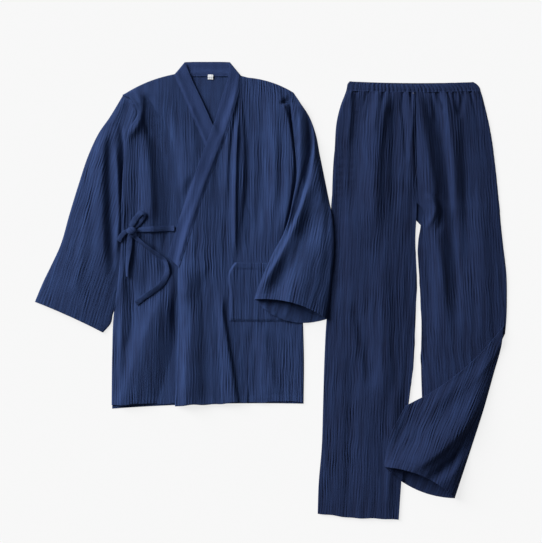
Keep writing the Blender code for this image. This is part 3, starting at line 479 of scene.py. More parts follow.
LOWER_LEG_CREASES = (
    Crease(0.502, -0.131, 0.431, -0.291, 0.281, -0.406, 0.0095, 0.03, 0.012),
    Crease(0.519, -0.167, 0.451, -0.324, 0.312, -0.436, -0.009, 0.014, 0.012),
    Crease(0.407, -0.198, 0.347, -0.273, 0.29, -0.348, 0.0024, 0.014, 0.016),
    Crease(0.34, -0.233, 0.327, -0.297, 0.298, -0.366, -0.0022, 0.01, 0.012),
    Crease(0.477, -0.238, 0.429, -0.352, 0.382, -0.436, 0.003, 0.008, 0.018),
)


FRONT_RIGHT_CALMS = (
    Calm(-0.248, 0.32, 0.034, 0.075, 0.55),
    Calm(-0.308, 0.31, 0.024, 0.06, 0.4),
    Calm(-0.24, 0.2, 0.03, 0.11, 0.6),
    Calm(-0.215, 0.04, 0.022, 0.05, 0.6),
    Calm(-0.255, -0.16, 0.06, 0.11, 0.45),
)

FRONT_LEFT_CALMS = (
    Calm(-0.148, -0.14, 0.024, 0.11, 0.45),
    Calm(0.03, 0.4, 0.04, 0.03, 0.4),
)

SLEEVE_RIGHT_CALMS = (
    Calm(-0.345, 0.345, 0.07, 0.08, 0.5),
    Calm(-0.345, 0.2, 0.04, 0.12, 0.4),
)

SLEEVE_LEFT_CALMS = (
    Calm(0.06, 0.1, 0.03, 0.09, 0.55),
    Calm(0.075, 0.38, 0.03, 0.06, 0.5),
)

TROUSER_LEFT_CALMS = (
    Calm(0.365, 0.3, 0.035, 0.12, 0.45),
    Calm(0.4, 0.14, 0.03, 0.12, 0.45),
)


class Edge(Enum):
    """The side of a panel that a seam runs along."""

    LEFT = "left"
    RIGHT = "right"
    START = "start"
    END = "end"


class Hold(Enum):
    """How a sheet of cloth is held."""

    LAID = "laid"
    FOLDED = "folded"
    GATHERED = "gathered"


class Slot(Enum):
    """The record's material slots."""

    CLOTH = "crinkle_cloth"
    COLLAR = "collar_cloth"
    LABEL = "label_tape"


Materials = dict[Slot, bpy.types.Material]


class Seam(NamedTuple):
    """A stitched line along one side of a panel, and how far inside that side it runs."""

    edge: Edge
    inset: float


class Roll(NamedTuple):
    """How a panel's side is rounded off: within radius it falls to a share of its height."""

    edge: Edge
    radius: float
    keep: float


class Wave(NamedTuple):
    """A sine wave: its size, its pace and its phase."""

    size: float
    pace: float
    phase: float


HEM_WAVES = (Wave(1.0, 61.0, 0.0), Wave(0.6, 143.0, 1.0))


def sides(left: float = HEM_RADIUS, right: float = HEM_RADIUS, start: float = HEM_RADIUS,
          end: float = HEM_RADIUS, keep: float = HEM_KEEP) -> tuple[Roll, ...]:
    """Round a panel's sides: those much wider than a hem close down on what lies below."""
    radii = ((Edge.LEFT, left), (Edge.RIGHT, right), (Edge.START, start), (Edge.END, end))
    return tuple(Roll(edge, radius, 0.0 if radius > CLOSING_RADIUS else keep)
                 for edge, radius in radii)


def rippled(way: Grid, waves: Sequence[Wave]) -> Grid:
    """Add up waves along a way."""
    return sum(wave.size * np.sin(wave.pace * way + wave.phase) for wave in waves)


def eased(share: Grid) -> Grid:
    """Give a share from 0 to 1 a soft start and end."""
    return share * share * (3 - 2 * share)


def banded(across: Grid, spread: float, along: Grid) -> Grid:
    """Let through waves that are near 1 across the grain and long along it."""
    return np.exp(-(np.log(across) / spread) ** 2 - along ** 2)


def rows_between(table: Sequence[tuple], places: Grid, columns: tuple[int, ...]) -> Grid:
    """Read a table at shares of the way along a smooth curve through its rows.

    Args:
        table: The rows, one tuple each.
        places: Shares of the whole way, from 0 to 1.
        columns: The columns that hold places, which space the rows.

    Returns:
        One row of values for each place.
    """
    values = np.array(table)
    steps = np.linalg.norm(np.diff(values[:, columns], axis=0), axis=1)
    stations = np.concatenate(([0.0], np.cumsum(steps)))
    slopes = np.gradient(values, stations, axis=0)
    reach = places * stations[-1]
    before = np.clip(np.searchsorted(stations, reach, side="right") - 1, 0, len(stations) - 2)
    span = (stations[before + 1] - stations[before])[:, None]
    part = (reach - stations[before])[:, None] / span
    start, end = values[before], values[before + 1]
    rise_start, rise_end = slopes[before] * span, slopes[before + 1] * span
    return (start * (1 + 2 * part) * (1 - part) ** 2 + rise_start * part * (1 - part) ** 2
            + end * part ** 2 * (3 - 2 * part) + rise_end * part ** 2 * (part - 1))


def points_across(left: Grid, right: Grid, bow: Grid, shares: Grid) -> Grid:
    """Place points from left to right on each line, bowed towards +Y.

    Args:
        left: The lines' left ends.
        right: The lines' right ends.
        bow: How far each line bows.
        shares: Shares of the way across, one row for all lines or one for each.

    Returns:
        A grid of (x, y) points.
    """
    shares = np.broadcast_to(shares, (len(left), shares.shape[-1]))[..., None]
    line = right - left
    side = np.stack((-line[:, 1], line[:, 0]), axis=1)
    side /= np.linalg.norm(side, axis=1)[:, None]
    arch = 4 * shares * (1 - shares) * bow[:, None, None]
    return left[:, None] * (1 - shares) + right[:, None] * shares + side[:, None] * arch


def crease_height(points: Grid, creases: Sequence[Crease]) -> Grid:
    """Add up the creases' ridges and troughs at each point of a grid.

    Args:
        points: A grid of (x, y) points.
        creases: The creases.

    Returns:
        The height that they add at each point.
    """
    total = np.zeros(points.shape[:-1])
    steps = np.linspace(0.0, 1.0, CREASE_STEPS)
    for crease in creases:
        start = np.array((crease.start_x, crease.start_y))
        end = np.array((crease.end_x, crease.end_y))
        handle = 2 * np.array((crease.mid_x, crease.mid_y)) - (start + end) / 2
        line = (np.outer((1 - steps) ** 2, start) + np.outer(2 * steps * (1 - steps), handle)
                + np.outer(steps ** 2, end))
        ahead = np.gradient(line, axis=0)
        pace = np.linalg.norm(ahead, axis=1)
        ahead /= pace[:, None]
        nearest = np.linalg.norm(points[..., None, :] - line, axis=-1).argmin(axis=-1)
        offset = points - line[nearest]
        way = ahead[nearest]
        along = (offset * way).sum(axis=-1)
        across = way[..., 0] * offset[..., 1] - way[..., 1] * offset[..., 0]
        place = (nearest + along / pace[nearest]) / (CREASE_STEPS - 1)
        beyond = np.maximum(np.maximum(-place, place - 1), 0.0) * pace.mean() * (CREASE_STEPS - 1)
        width = np.where(across < 0, crease.west, crease.east)
        fade = eased(np.clip(np.minimum(place, 1 - place) / CREASE_END_SHARE, 0.0, 1.0))
        total += crease.rise * fade * np.exp(-(across ** 2 + beyond ** 2) / width ** 2)
    return total


def crinkle_left(points: Grid, calms: Sequence[Calm]) -> Grid:
    """Work out the share of the crinkle that zones of smoother cloth leave.

    Args:
        points: A grid of (x, y) points.
        calms: The zones.

    Returns:
        The share left at each point.
    """
    left = np.ones(points.shape[:-1])
    for calm in calms:
        away = (((points[..., 0] - calm.x) / calm.half_x) ** 2
                + ((points[..., 1] - calm.y) / calm.half_y) ** 2)
        left *= 1 - calm.share * np.exp(-away ** 2)
    return left


def spread_over(lowest: Grid, passes: int) -> Grid:
    """Let cloth span the steps in what it lies on, never below it.

    Args:
        lowest: The least height at each point of a grid.
        passes: How often the heights are evened out.

    Returns:
        The height at which the cloth is carried.
    """
    heights = lowest.copy()
    for _ in range(passes):
        wide = np.pad(heights, 1, mode="edge")
        mean = (wide[:-2, 1:-1] + wide[2:, 1:-1] + wide[1:-1, :-2] + wide[1:-1, 2:]) / 4
        heights = np.maximum(lowest, mean)
    return heights


def soft_maximum(first: Grid, second: Grid, depth: float = BLEND_DEPTH) -> Grid:
    """Take the higher of two surfaces, with a rounded change between them."""
    return (first + second + np.sqrt((first - second) ** 2 + depth ** 2)) / 2


def clear_of(seat: Grid) -> Grid:
    """The least height of cloth on its seat: just above other cloth, or on the bare floor."""
    return np.where(seat > 0.0, seat + LAY_GAP, 0.0)


def lengths_along(points: Grid, axis: int) -> Grid:
    """Measure along a grid's lines from their first points.

    Args:
        points: A grid of points, or one line of them.
        axis: 0 for the lines along a piece, 1 for those across it.

    Returns:
        The distance at each point.
    """
    steps = np.linalg.norm(np.diff(points, axis=axis), axis=-1)
    start = np.zeros_like(steps.take([0], axis=axis))
    return np.concatenate((start, np.cumsum(steps, axis=axis)), axis=axis)


def sampled(grid: Grid, rows: Grid, columns: Grid) -> Grid:
    """Read a grid between its points.

    Args:
        grid: Values by row and column.
        rows: Row places, as fractions of a row too.
        columns: Column places.

    Returns:
        The values at those places.
    """
    row = np.clip(rows.astype(int), 0, grid.shape[0] - 2)
    column = np.clip(columns.astype(int), 0, grid.shape[1] - 2)
    down = np.clip(rows - row, 0.0, 1.0)
    over = np.clip(columns - column, 0.0, 1.0)
    if grid.ndim > 2:
        down, over = down[..., None], over[..., None]
    return ((grid[row, column] * (1 - over) + grid[row, column + 1] * over) * (1 - down)
            + (grid[row + 1, column] * (1 - over) + grid[row + 1, column + 1] * over) * down)


class Pile:
    """The top of all cloth laid so far, as a map of heights seen from above."""

    def __init__(self) -> None:
        """Start with the bare floor."""
        self.heights = np.zeros(MAP_SIZE)

    def take(self, other: "Pile") -> None:
        """Add what was laid on another pile."""
        self.heights = np.maximum(self.heights, other.heights)

    def top(self, points: Grid, reach: int = 2) -> Grid:
        """Read the highest cloth close to each point.

        Args:
            points: A grid of (x, y) points.
            reach: How many map cells around a point count.

        Returns:
            Heights above the floor, 0 where it is bare.
        """
        wide = np.pad(self.heights, reach, mode="edge")
        around = range(2 * reach + 1)
        highest = np.max([wide[i:i + MAP_SIZE[0], j:j + MAP_SIZE[1]] for i in around
                          for j in around], axis=0)
        places = (points[..., :2] - MAP_LOW) / MAP_CELL
        return sampled(highest, places[..., 0], places[..., 1])

    def add(self, points: Grid) -> None:
        """Put a laid grid on the map.

        Args:
            points: A grid of (x, y, z) points.
        """
        rows = np.arange(0, points.shape[0] - 1 + ROUNDING, 1 / SPLAT_STEPS)
        columns = np.arange(0, points.shape[1] - 1 + ROUNDING, 1 / SPLAT_STEPS)
        row, column = np.meshgrid(rows, columns, indexing="ij")
        fine = sampled(points, row, column)
        cells = np.round((fine[..., :2] - MAP_LOW) / MAP_CELL).astype(int)
        cells = np.clip(cells, 0, np.array(MAP_SIZE) - 1)
        np.maximum.at(self.heights, (cells[..., 0], cells[..., 1]), fine[..., 2])


@dataclass(frozen=True)
class Crinkle:
    """The crepe of double gauze: uneven ridges along the grain that wander, part and join.

    The angle is the grain's from +X, in degrees. Spacing and run are the main ridges' distance and
    length, and the finer and broader ridges are given as shares of them.
    """

    angle: float = 90.0
    depth: float = 0.00034
    spacing: float = 0.0061
    run: float = 0.065
    spread: float = 0.30
    fine_share: float = 0.55
    fine_spacing: float = 0.58
    fine_run: float = 0.6
    fine_spread: float = 0.28
    broad_share: float = 0.6
    broad_spacing: float = 3.6
    broad_run: float = 0.11
    broad_spread: float = 0.35
    valley_share: float = 0.08
    swing: float = 0.25
    swing_width: float = 0.07
    swing_limits: tuple[float, float] = (0.4, 1.7)
    wander: float = 0.0007
    wander_width: float = 0.045
    wander_run: float = 0.050
    seed: int = 1
    step: float = 0.0007
    step_along: float = 0.004
    reach: float = 1.26

    def ridges(self) -> tuple[Grid, Grid]:
        """Draw the ridges as filtered noise, with broad tops and narrow valleys.

        Returns:
            Maps across the grain by along it: the height in shares of the depth, and the drift.
        """
        count = (round(self.reach / self.step), round(self.reach / self.step_along))
        noise = np.fft.rfft2(np.random.default_rng(self.seed).standard_normal(count))
        across = np.abs(np.fft.fftfreq(count[0], self.step))[:, None] + TINY
        along = np.fft.rfftfreq(count[1], self.step_along)[None, :]
        bands = (
            banded(across * self.spacing, self.spread, along * self.run),
            banded(across * self.spacing * self.fine_spacing, self.fine_spread,
                   along * self.run * self.fine_run),
            banded(across * self.spacing * self.broad_spacing, self.broad_spread,
                   along * self.broad_run),
            np.exp(-(across * self.swing_width) ** 2 - (along * self.broad_run) ** 2),
            np.exp(-(across * self.wander_width) ** 2 - (along * self.wander_run) ** 2),
        )
        waves = [np.fft.irfft2(noise * band, s=count) for band in bands]
        main, fine, broad, slow, drift = (wave / wave.std() for wave in waves)
        ridges = (main + self.fine_share * fine) / math.hypot(1.0, self.fine_share)
        ridges = ridges - self.valley_share * (ridges ** 2 - 1)
        size = np.clip(1 + self.swing * slow, *self.swing_limits)
        return ridges * size + self.broad_share * broad, drift

    def at(self, across: Grid, along: Grid) -> Grid:
        """Read the ridges at places given across and along the grain.

        Args:
            across: Distances across the grain, in metres.
            along: Distances along it.

        Returns:
            Heights in shares of the depth.
        """
        ridges, drift = self.ridges()
        rows = np.mod(across / self.step, ridges.shape[0] - 1)
        columns = np.mod(along / self.step_along, ridges.shape[1] - 1)
        rows = rows + sampled(drift, rows, columns) * self.wander / self.step
        return sampled(ridges, np.mod(rows, ridges.shape[0] - 1), columns)

    def grain(self, points: Grid) -> tuple[Grid, Grid]:
        """Measure across and along the grain.

        Args:
            points: A grid of (x, y) points.

        Returns:
            The distances across and along.
        """
        turn = math.radians(self.angle)
        x, y = points[..., 0] + self.reach / 2, points[..., 1] + self.reach / 2
        return x * math.sin(turn) - y * math.cos(turn), x * math.cos(turn) + y * math.sin(turn)


def new_object(name: str, data: bpy.types.ID) -> bpy.types.Object:
    """Link a mesh, light or camera to the scene as a named object.

    Args:
        name: The object's name.
        data: What it shows.

    Returns:
        The object.
    """
    item = bpy.data.objects.new(name, data)
    bpy.context.scene.collection.objects.link(item)
    return item


def grid_mesh(name: str, points: Grid, grain: Grid, crinkle: Grid, closed: bool,
              welded: bool) -> bpy.types.Mesh:
    """Make a mesh of quads through a grid of points.

    Args:
        name: The mesh's name.
        points: (x, y, z) by row and column.
        grain: Distances across and along the grain, kept as the UV map.
        crinkle: The ridges' height in shares, kept as a point attribute.
        closed: Whether the last column joins the first.
        welded: Whether points in one place are joined.

    Returns:
        The smooth-shaded mesh.
    """
    rows, columns = points.shape[:2]
    index = np.arange(rows * columns).reshape(rows, columns)
    if closed:
        index = np.concatenate((index, index[:, :1]), axis=1)
    faces = np.stack((index[:-1, :-1], index[1:, :-1], index[1:, 1:], index[:-1, 1:]), axis=-1)
    faces = faces.reshape(-1, 4)
    mesh = bpy.data.meshes.new(name)
    mesh.from_pydata(points.reshape(-1, 3).tolist(), [], faces.tolist())
    layer = mesh.uv_layers.new(name="grain")
    layer.data.foreach_set("uv", grain.reshape(-1, 2)[faces.reshape(-1)].astype(np.float32).ravel())
    kept = mesh.attributes.new("crinkle", "FLOAT", "POINT")
    kept.data.foreach_set("value", crinkle.astype(np.float32).ravel())
    if welded:
        shape = bmesh.new()
        shape.from_mesh(mesh)
        bmesh.ops.remove_doubles(shape, verts=shape.verts, dist=WELD_DISTANCE)
        shape.to_mesh(mesh)
        shape.free()
    mesh.shade_smooth()
    return mesh


def thickened(piece: bpy.types.Object, wall: float) -> None:
    """Give a sheet its wall, below or inside the surface that shows, and apply it.

    Args:
        piece: The sheet.
        wall: Its thickness.
    """
    wall_modifier = piece.modifiers.new("Wall", "SOLIDIFY")
    wall_modifier.thickness = wall
    wall_modifier.offset = -1.0
    wall_modifier.use_rim = True
    graph = bpy.context.evaluated_depsgraph_get()
    finished = bpy.data.meshes.new_from_object(piece.evaluated_get(graph))
    piece.modifiers.clear()
    piece.data = finished


def put_on(piece: bpy.types.Object, node: str, slot: Slot, materials: Materials) -> None:
    """Give a piece its material and slot, and let it stand for its solid.

    Args:
        piece: The piece.
        node: The solid's node, or nothing for trim.
        slot: The material slot.
        materials: The material of each slot.
    """
    piece.data.materials.clear()
    piece.data.materials.append(materials[slot])
    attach(piece, ROOT_BODY)
    if node:
        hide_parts(node)


def spaced_shares(width: float, *stretches: tuple[float, float]) -> Grid:
    """Space grid lines over a width, close together at both ends for a rounded side.

    Args:
        width: The width that they are for.
        stretches: Each stretch's end as a share of the width, and its spacing in metres.

    Returns:
        Shares of the width, from 0 to 1.
    """
    ends = np.array(EDGE_STEPS) / width
    low = ends[-1] * EDGE_REACH
    lines = [ends]
    for end_share, spacing in stretches:
        high = min(end_share, 1 - ends[-1] * EDGE_REACH)
        count = max(round((high - low) * width / spacing), 1)
        lines.append(np.linspace(low, high, count + 1)[:-1])
        low = high
    return np.concatenate(lines + [[low], 1 - ends[::-1]])


def evenly(width: float, spacing: float) -> Grid:
    """Space grid lines evenly over a width, apart from its rounded sides."""
    return spaced_shares(width, (1.0, spacing))


def side_distances(flat: Grid) -> dict[Edge, Grid]:
    """Measure how far each point of a panel is from each of its sides.

    Args:
        flat: A grid of (x, y) points.

    Returns:
        A grid of distances for each side.
    """
    across, along = lengths_along(flat, 1), lengths_along(flat, 0)
    return {Edge.LEFT: across, Edge.RIGHT: across[:, -1:] - across,
            Edge.START: along, Edge.END: along[-1:] - along}


def flat_size(flat: Grid, layers: int = 1) -> tuple[float, float, float]:
    """Measure a flat grid of cloth.

    Args:
        flat: A grid of (x, y) points.
        layers: How many layers of it the piece has, side by side when opened out.

    Returns:
        The greatest width, the greatest length and the area.
    """
    across, along = lengths_along(flat, 1), lengths_along(flat, 0)
    first, second = flat[1:, 1:] - flat[:-1, :-1], flat[1:, :-1] - flat[:-1, 1:]
    area = np.abs(first[..., 0] * second[..., 1] - first[..., 1] * second[..., 0]).sum() / 2
    return layers * float(across[:, -1].max()), float(along[-1].max()), layers * float(area)


def seam_path(points: Grid, near: dict[Edge, Grid], seam: Seam) -> Grid:
    """Follow a seam's line over a laid panel.

    Args:
        points: The panel's (x, y, z) points.
        near: Each point's distance from the panel's sides.
        seam: The seam.

    Returns:
        The line's (x, y, z) points.
    """
    distance = near[seam.edge]
    if seam.edge in (Edge.START, Edge.END):
        points, distance = points.swapaxes(0, 1), distance.T
    path = []
    for line, away in zip(points, distance):
        order = np.argsort(away)
        path.append([np.interp(seam.inset, away[order], line[order, i]) for i in range(3)])
    return np.array(path)


def stitched(name: str, paths: Sequence[Grid]) -> bpy.types.Object:
    """Sew running stitches along lines on the cloth.

    Args:
        name: The object's name.
        paths: Lines of (x, y, z) points on the cloth's surface.

    Returns:
        The stitches as one object.
    """
    vertices: list[Grid] = []
    faces: list[tuple[int, int, int]] = []
    half = STITCH_WIDTH / 2
    for path in paths:
        steps = lengths_along(path, 0)
        for start in np.arange(STITCH_PITCH / 2, steps[-1] - STITCH_PITCH, STITCH_PITCH):
            first, last = (np.array([np.interp(place, steps, path[:, i]) for i in range(3)])
                           for place in (start, start + STITCH_LENGTH))
            way = (last - first) / max(np.linalg.norm(last - first), TINY)
            side = np.cross(UP, way)
            side /= max(np.linalg.norm(side), TINY)
            middle = (first + last) / 2
            base = len(vertices)
            vertices += [first - UP * STITCH_SINK, middle + side * half, middle + UP * half,
                         middle - side * half, middle - UP * half, last - UP * STITCH_SINK]
            for turn in range(4):
                here, ahead = base + 1 + turn, base + 1 + (turn + 1) % 4
                faces += [(base, ahead, here), (base + 5, here, ahead)]
    mesh = bpy.data.meshes.new(name)
    mesh.from_pydata([tuple(vertex) for vertex in vertices], [], faces)
    mesh.shade_smooth()
    return new_object(name, mesh)


def sewn(node: str, points: Grid, seams: Sequence[Seam], slot: Slot,
         materials: Materials) -> list[bpy.types.Object]:
    """Sew a piece's seams with thread of its own colour.

    Args:
        node: The node that the piece stands for.
        points: The piece's (x, y, z) points.
        seams: Its seams.
        slot: Its material slot.
        materials: The material of each slot.

    Returns:
        The stitches, or nothing where the piece has no seams.
    """
    if not seams:
        return []
    near = side_distances(points[..., :2])
    stitches = stitched(f"{node}_stitches", [seam_path(points, near, seam) for seam in seams])
    put_on(stitches, "", slot, materials)
    return [stitches]


class Layer(NamedTuple):
    """A grid of cloth: its points, its distances across and along the grain, and its ridges."""

    points: Grid
    grain: Grid
    ridges: Grid


class Laid(NamedTuple):
    """Cloth as laid: its grid, the face that shows, its flat size, its wall and its dress."""

    cloth: Layer
    face: Grid
    size: tuple[float, float, float]
    wall: float
    held: Hold = Hold.LAID
    seams: Sequence[Seam] = ()
    slot: Slot = Slot.CLOTH
    closed: bool = False
    welded: bool = False


class Cloth:
    """A piece of cloth that stands for a solid."""

    node: str

    def laid(self, pile: Pile) -> Laid:
        """Shape the cloth on the pile."""
        raise NotImplementedError("each kind of cloth shapes itself")

    def lay(self, pile: Pile, materials: Materials,
            rests_on: Sequence[str] = (FLOOR_NAME,)) -> bpy.types.Object:
        """Lay the cloth on the pile, sew and dress it.

        Args:
            pile: The cloth laid so far.
            materials: The material of each slot.
            rests_on: The names of what it lies on; not used.

        Returns:
            The finished piece.
        """
        laid = self.laid(pile)
        name = f"{self.node}_piece"
        piece = new_object(name, grid_mesh(name, *laid.cloth, laid.closed, laid.welded))
        thickened(piece, laid.wall)
        put_on(piece, self.node, laid.slot, materials)
        trim = sewn(self.node, laid.face, laid.seams, laid.slot, materials)
        pile.add(laid.face)
        return piece


@dataclass(frozen=True)
class Gathers:
    """The gathers of the elastic waist, in the casing and running out into the legs."""

    left_x: float = 0.168
    right_x: float = 0.462
    top_y: float = 0.441
    count: int = 33
    rise: float = 0.0008
    run: float = 0.010
    drift: tuple[Wave, ...] = (Wave(0.9, 3.3, 0.0), Wave(0.7, 7.1, 1.3))
    size: float = 0.75
    swing: tuple[Wave, ...] = (Wave(0.5, 5.3, 0.8),)
    slow_swing: tuple[Wave, ...] = (Wave(1.0, 2.1, 0.0),)
    flat_top: float = 0.25
    pleat_count: float = 12.0
    pleat_rise: float = 0.0068
    pleat_run: float = 0.024
    pleat_drift: tuple[Wave, ...] = (Wave(1.3, 2.7, 0.0), Wave(1.0, 6.3, 0.7))
    pleat_size: float = 0.7
    pleat_swing: tuple[Wave, ...] = (Wave(0.5, 4.1, 2.0),)
    pleat_top: float = 0.3
    pleat_sharpness: float = 2.0
    pleat_start: float = 0.0025
    start_share: float = 0.2

    def waves(self, shares: Grid) -> Grid:
        """Shape the gathers of the casing.

        Args:
            shares: Shares of the waistband's width.

        Returns:
            Their heights.
        """
        turn = 2 * math.pi * shares
        size = self.size + rippled(turn, self.swing) * rippled(turn, self.slow_swing)
        wave = np.sin(self.count * turn + rippled(turn, self.drift))
        return self.rise * size * (wave - self.flat_top * (wave ** 2 - 0.5))

    def into_leg(self, flat: Grid) -> Grid:
        """Shape the gathers below the casing, which run out along the leg's columns.

        Args:
            flat: The leg's (x, y) points.

        Returns:
            Their heights.
        """
        top = flat[:1, :, 0] + 0 * flat[..., 0]
        shares = (top - self.left_x) / (self.right_x - self.left_x)
        below = np.maximum(self.top_y - flat[..., 1], 0.0)
        turn = 2 * math.pi * shares
        size = self.pleat_size + rippled(turn, self.pleat_swing)
        fold = np.cos(self.pleat_count * turn + rippled(turn, self.pleat_drift))
        pleats = size * (self.pleat_top - np.exp(self.pleat_sharpness * (fold - 1.0)))
        start = np.clip(below / self.pleat_start + self.start_share, 0.0, 1.0)
        return (self.waves(shares) * np.exp(-(below / self.run))
                + self.pleat_rise * pleats * start * np.exp(-(below / self.pleat_run)))


@dataclass
class Panel(Cloth):
    """A flat panel of cloth between two edges, laid on the pile.

    A pressed panel only follows what it lies on. Loft is padding, lean is where across the panel
    its crown stands highest, and the flush sides are sewn down to what lies below them.
    """

    node: str
    table: Sequence[Section]
    across: Grid
    along: Grid
    creases: Sequence[Crease] = ()
    crinkle: Crinkle = Crinkle()
    slot: Slot = Slot.CLOTH
    wall: float = 0.0012
    rolls: Sequence[Roll] = sides()
    seams: Sequence[Seam] = ()
    groove: float = GROOVE_DEPTH
    pressed: bool = False
    loft_left: float = 0.0
    loft_right: float = 0.0
    loft_end: float = 2.0
    loft_fade: float = 0.12
    lean: float = 0.5
    lean_end: float = 0.3
    passes: int = 36
    gathers: Optional[Gathers] = None
    hem_rise: float = 0.0
    hem_wave: float = 0.0
    flush: Sequence[Edge] = ()
    flush_width: float = 0.006
    calms: Sequence[Calm] = ()

    def waved(self, flat: Grid) -> Grid:
        """Let the hem run a little unevenly.

        Args:
            flat: The panel's (x, y) points.

        Returns:
            The moved points.
        """
        flat = flat.copy()
        flat[..., 1] += (self.hem_wave * rippled(flat[..., 0], HEM_WAVES)
                         * self.along[:, None] ** HEM_WAVE_POWER)
        return flat

    def free_height(self, line: Section) -> Grid:
        """Work out the height that the cloth keeps by itself: its edges and its crown.

        Args:
            line: The values of each line across the panel.

        Returns:
            The height of each point.
        """
        shares = self.across
        edges = line.left_lift[:, None] * (1 - shares) + line.right_lift[:, None] * shares
        fade = np.clip(1 - self.along / self.lean_end, 0.0, 1.0)[:, None]
        peak = 0.5 + (self.lean - 0.5) * fade * (2 - fade)
        turn = np.where(shares < peak, shares / np.maximum(peak, TINY),
                        (1 - shares) / np.maximum(1 - peak, TINY)) * np.pi / 2
        return edges + line.crown[:, None] * np.sin(turn) ** CROWN_POWER + self.wall

    def lofted(self) -> Grid:
        """The height that padding adds from side to side, down to where it ends."""
        fade = np.clip((self.loft_end - self.along) / self.loft_fade, 0.0, 1.0)[:, None]
        return fade * (self.loft_left * (1 - self.across) + self.loft_right * self.across)

    def heights(self, line: Section, flat: Grid, seat: Grid, ridges: Grid) -> Grid:
        """Work out how high the face that shows lies.

        Args:
            line: The values of each line across the panel.
            flat: The panel's (x, y) points.
            seat: The height of what lies below each point.
            ridges: The crinkle's height in shares.

        Returns:
            The height of each point.
        """
        least = clear_of(seat) + self.wall
        carried = spread_over(least + 2.0 * self.crinkle.depth, self.passes)
        height = carried if self.pressed else soft_maximum(self.free_height(line), carried)
        height = height + self.lofted()
        height = soft_maximum(height + crease_height(flat, self.creases), least)
        if self.gathers is not None:
            height = height + self.gathers.into_leg(flat)
        height = height + self.crinkle.depth * ridges * crinkle_left(flat, self.calms)
        near = side_distances(flat)
        for seam in self.seams:
            away = (near[seam.edge] - seam.inset) / GROOVE_WIDTH
            height = (height - self.groove * np.exp(-away ** 2)
                      + self.hem_rise * np.clip(-away, 0.0, 1.0))
        for roll in self.rolls:
            share = np.clip(near[roll.edge] / roll.radius, 0.0, 1.0)
            part = roll.keep + (1 - roll.keep) * np.sqrt(1 - (1 - share) ** 2)
            height = least + (height - least) * part
        height = np.maximum(height, least)
        for edge in self.flush:
            share = np.clip(1 - near[edge] / self.flush_width, 0.0, 1.0)
            height = height + (seat + FLUSH_GAP - height) * eased(share)
        return height

    def laid(self, pile: Pile) -> Laid:
        """Shape the panel on the pile.

        Args:
            pile: The cloth laid so far.

        Returns:
            The panel as laid.
        """
        line = Section(*rows_between(self.table, self.along, SECTION_PLACES).T)
        flat = self.waved(points_across(np.column_stack((line.left_x, line.left_y)),
                                        np.column_stack((line.right_x, line.right_y)),
                                        line.bow, self.across))
        across, along = self.crinkle.grain(flat)
        ridges = self.crinkle.at(across, along)
        points = np.dstack((flat, self.heights(line, flat, pile.top(flat), ridges)))
        return Laid(Layer(points, np.dstack((across, along)), ridges), points, flat_size(flat),
                    self.wall, seams=self.seams, slot=self.slot)


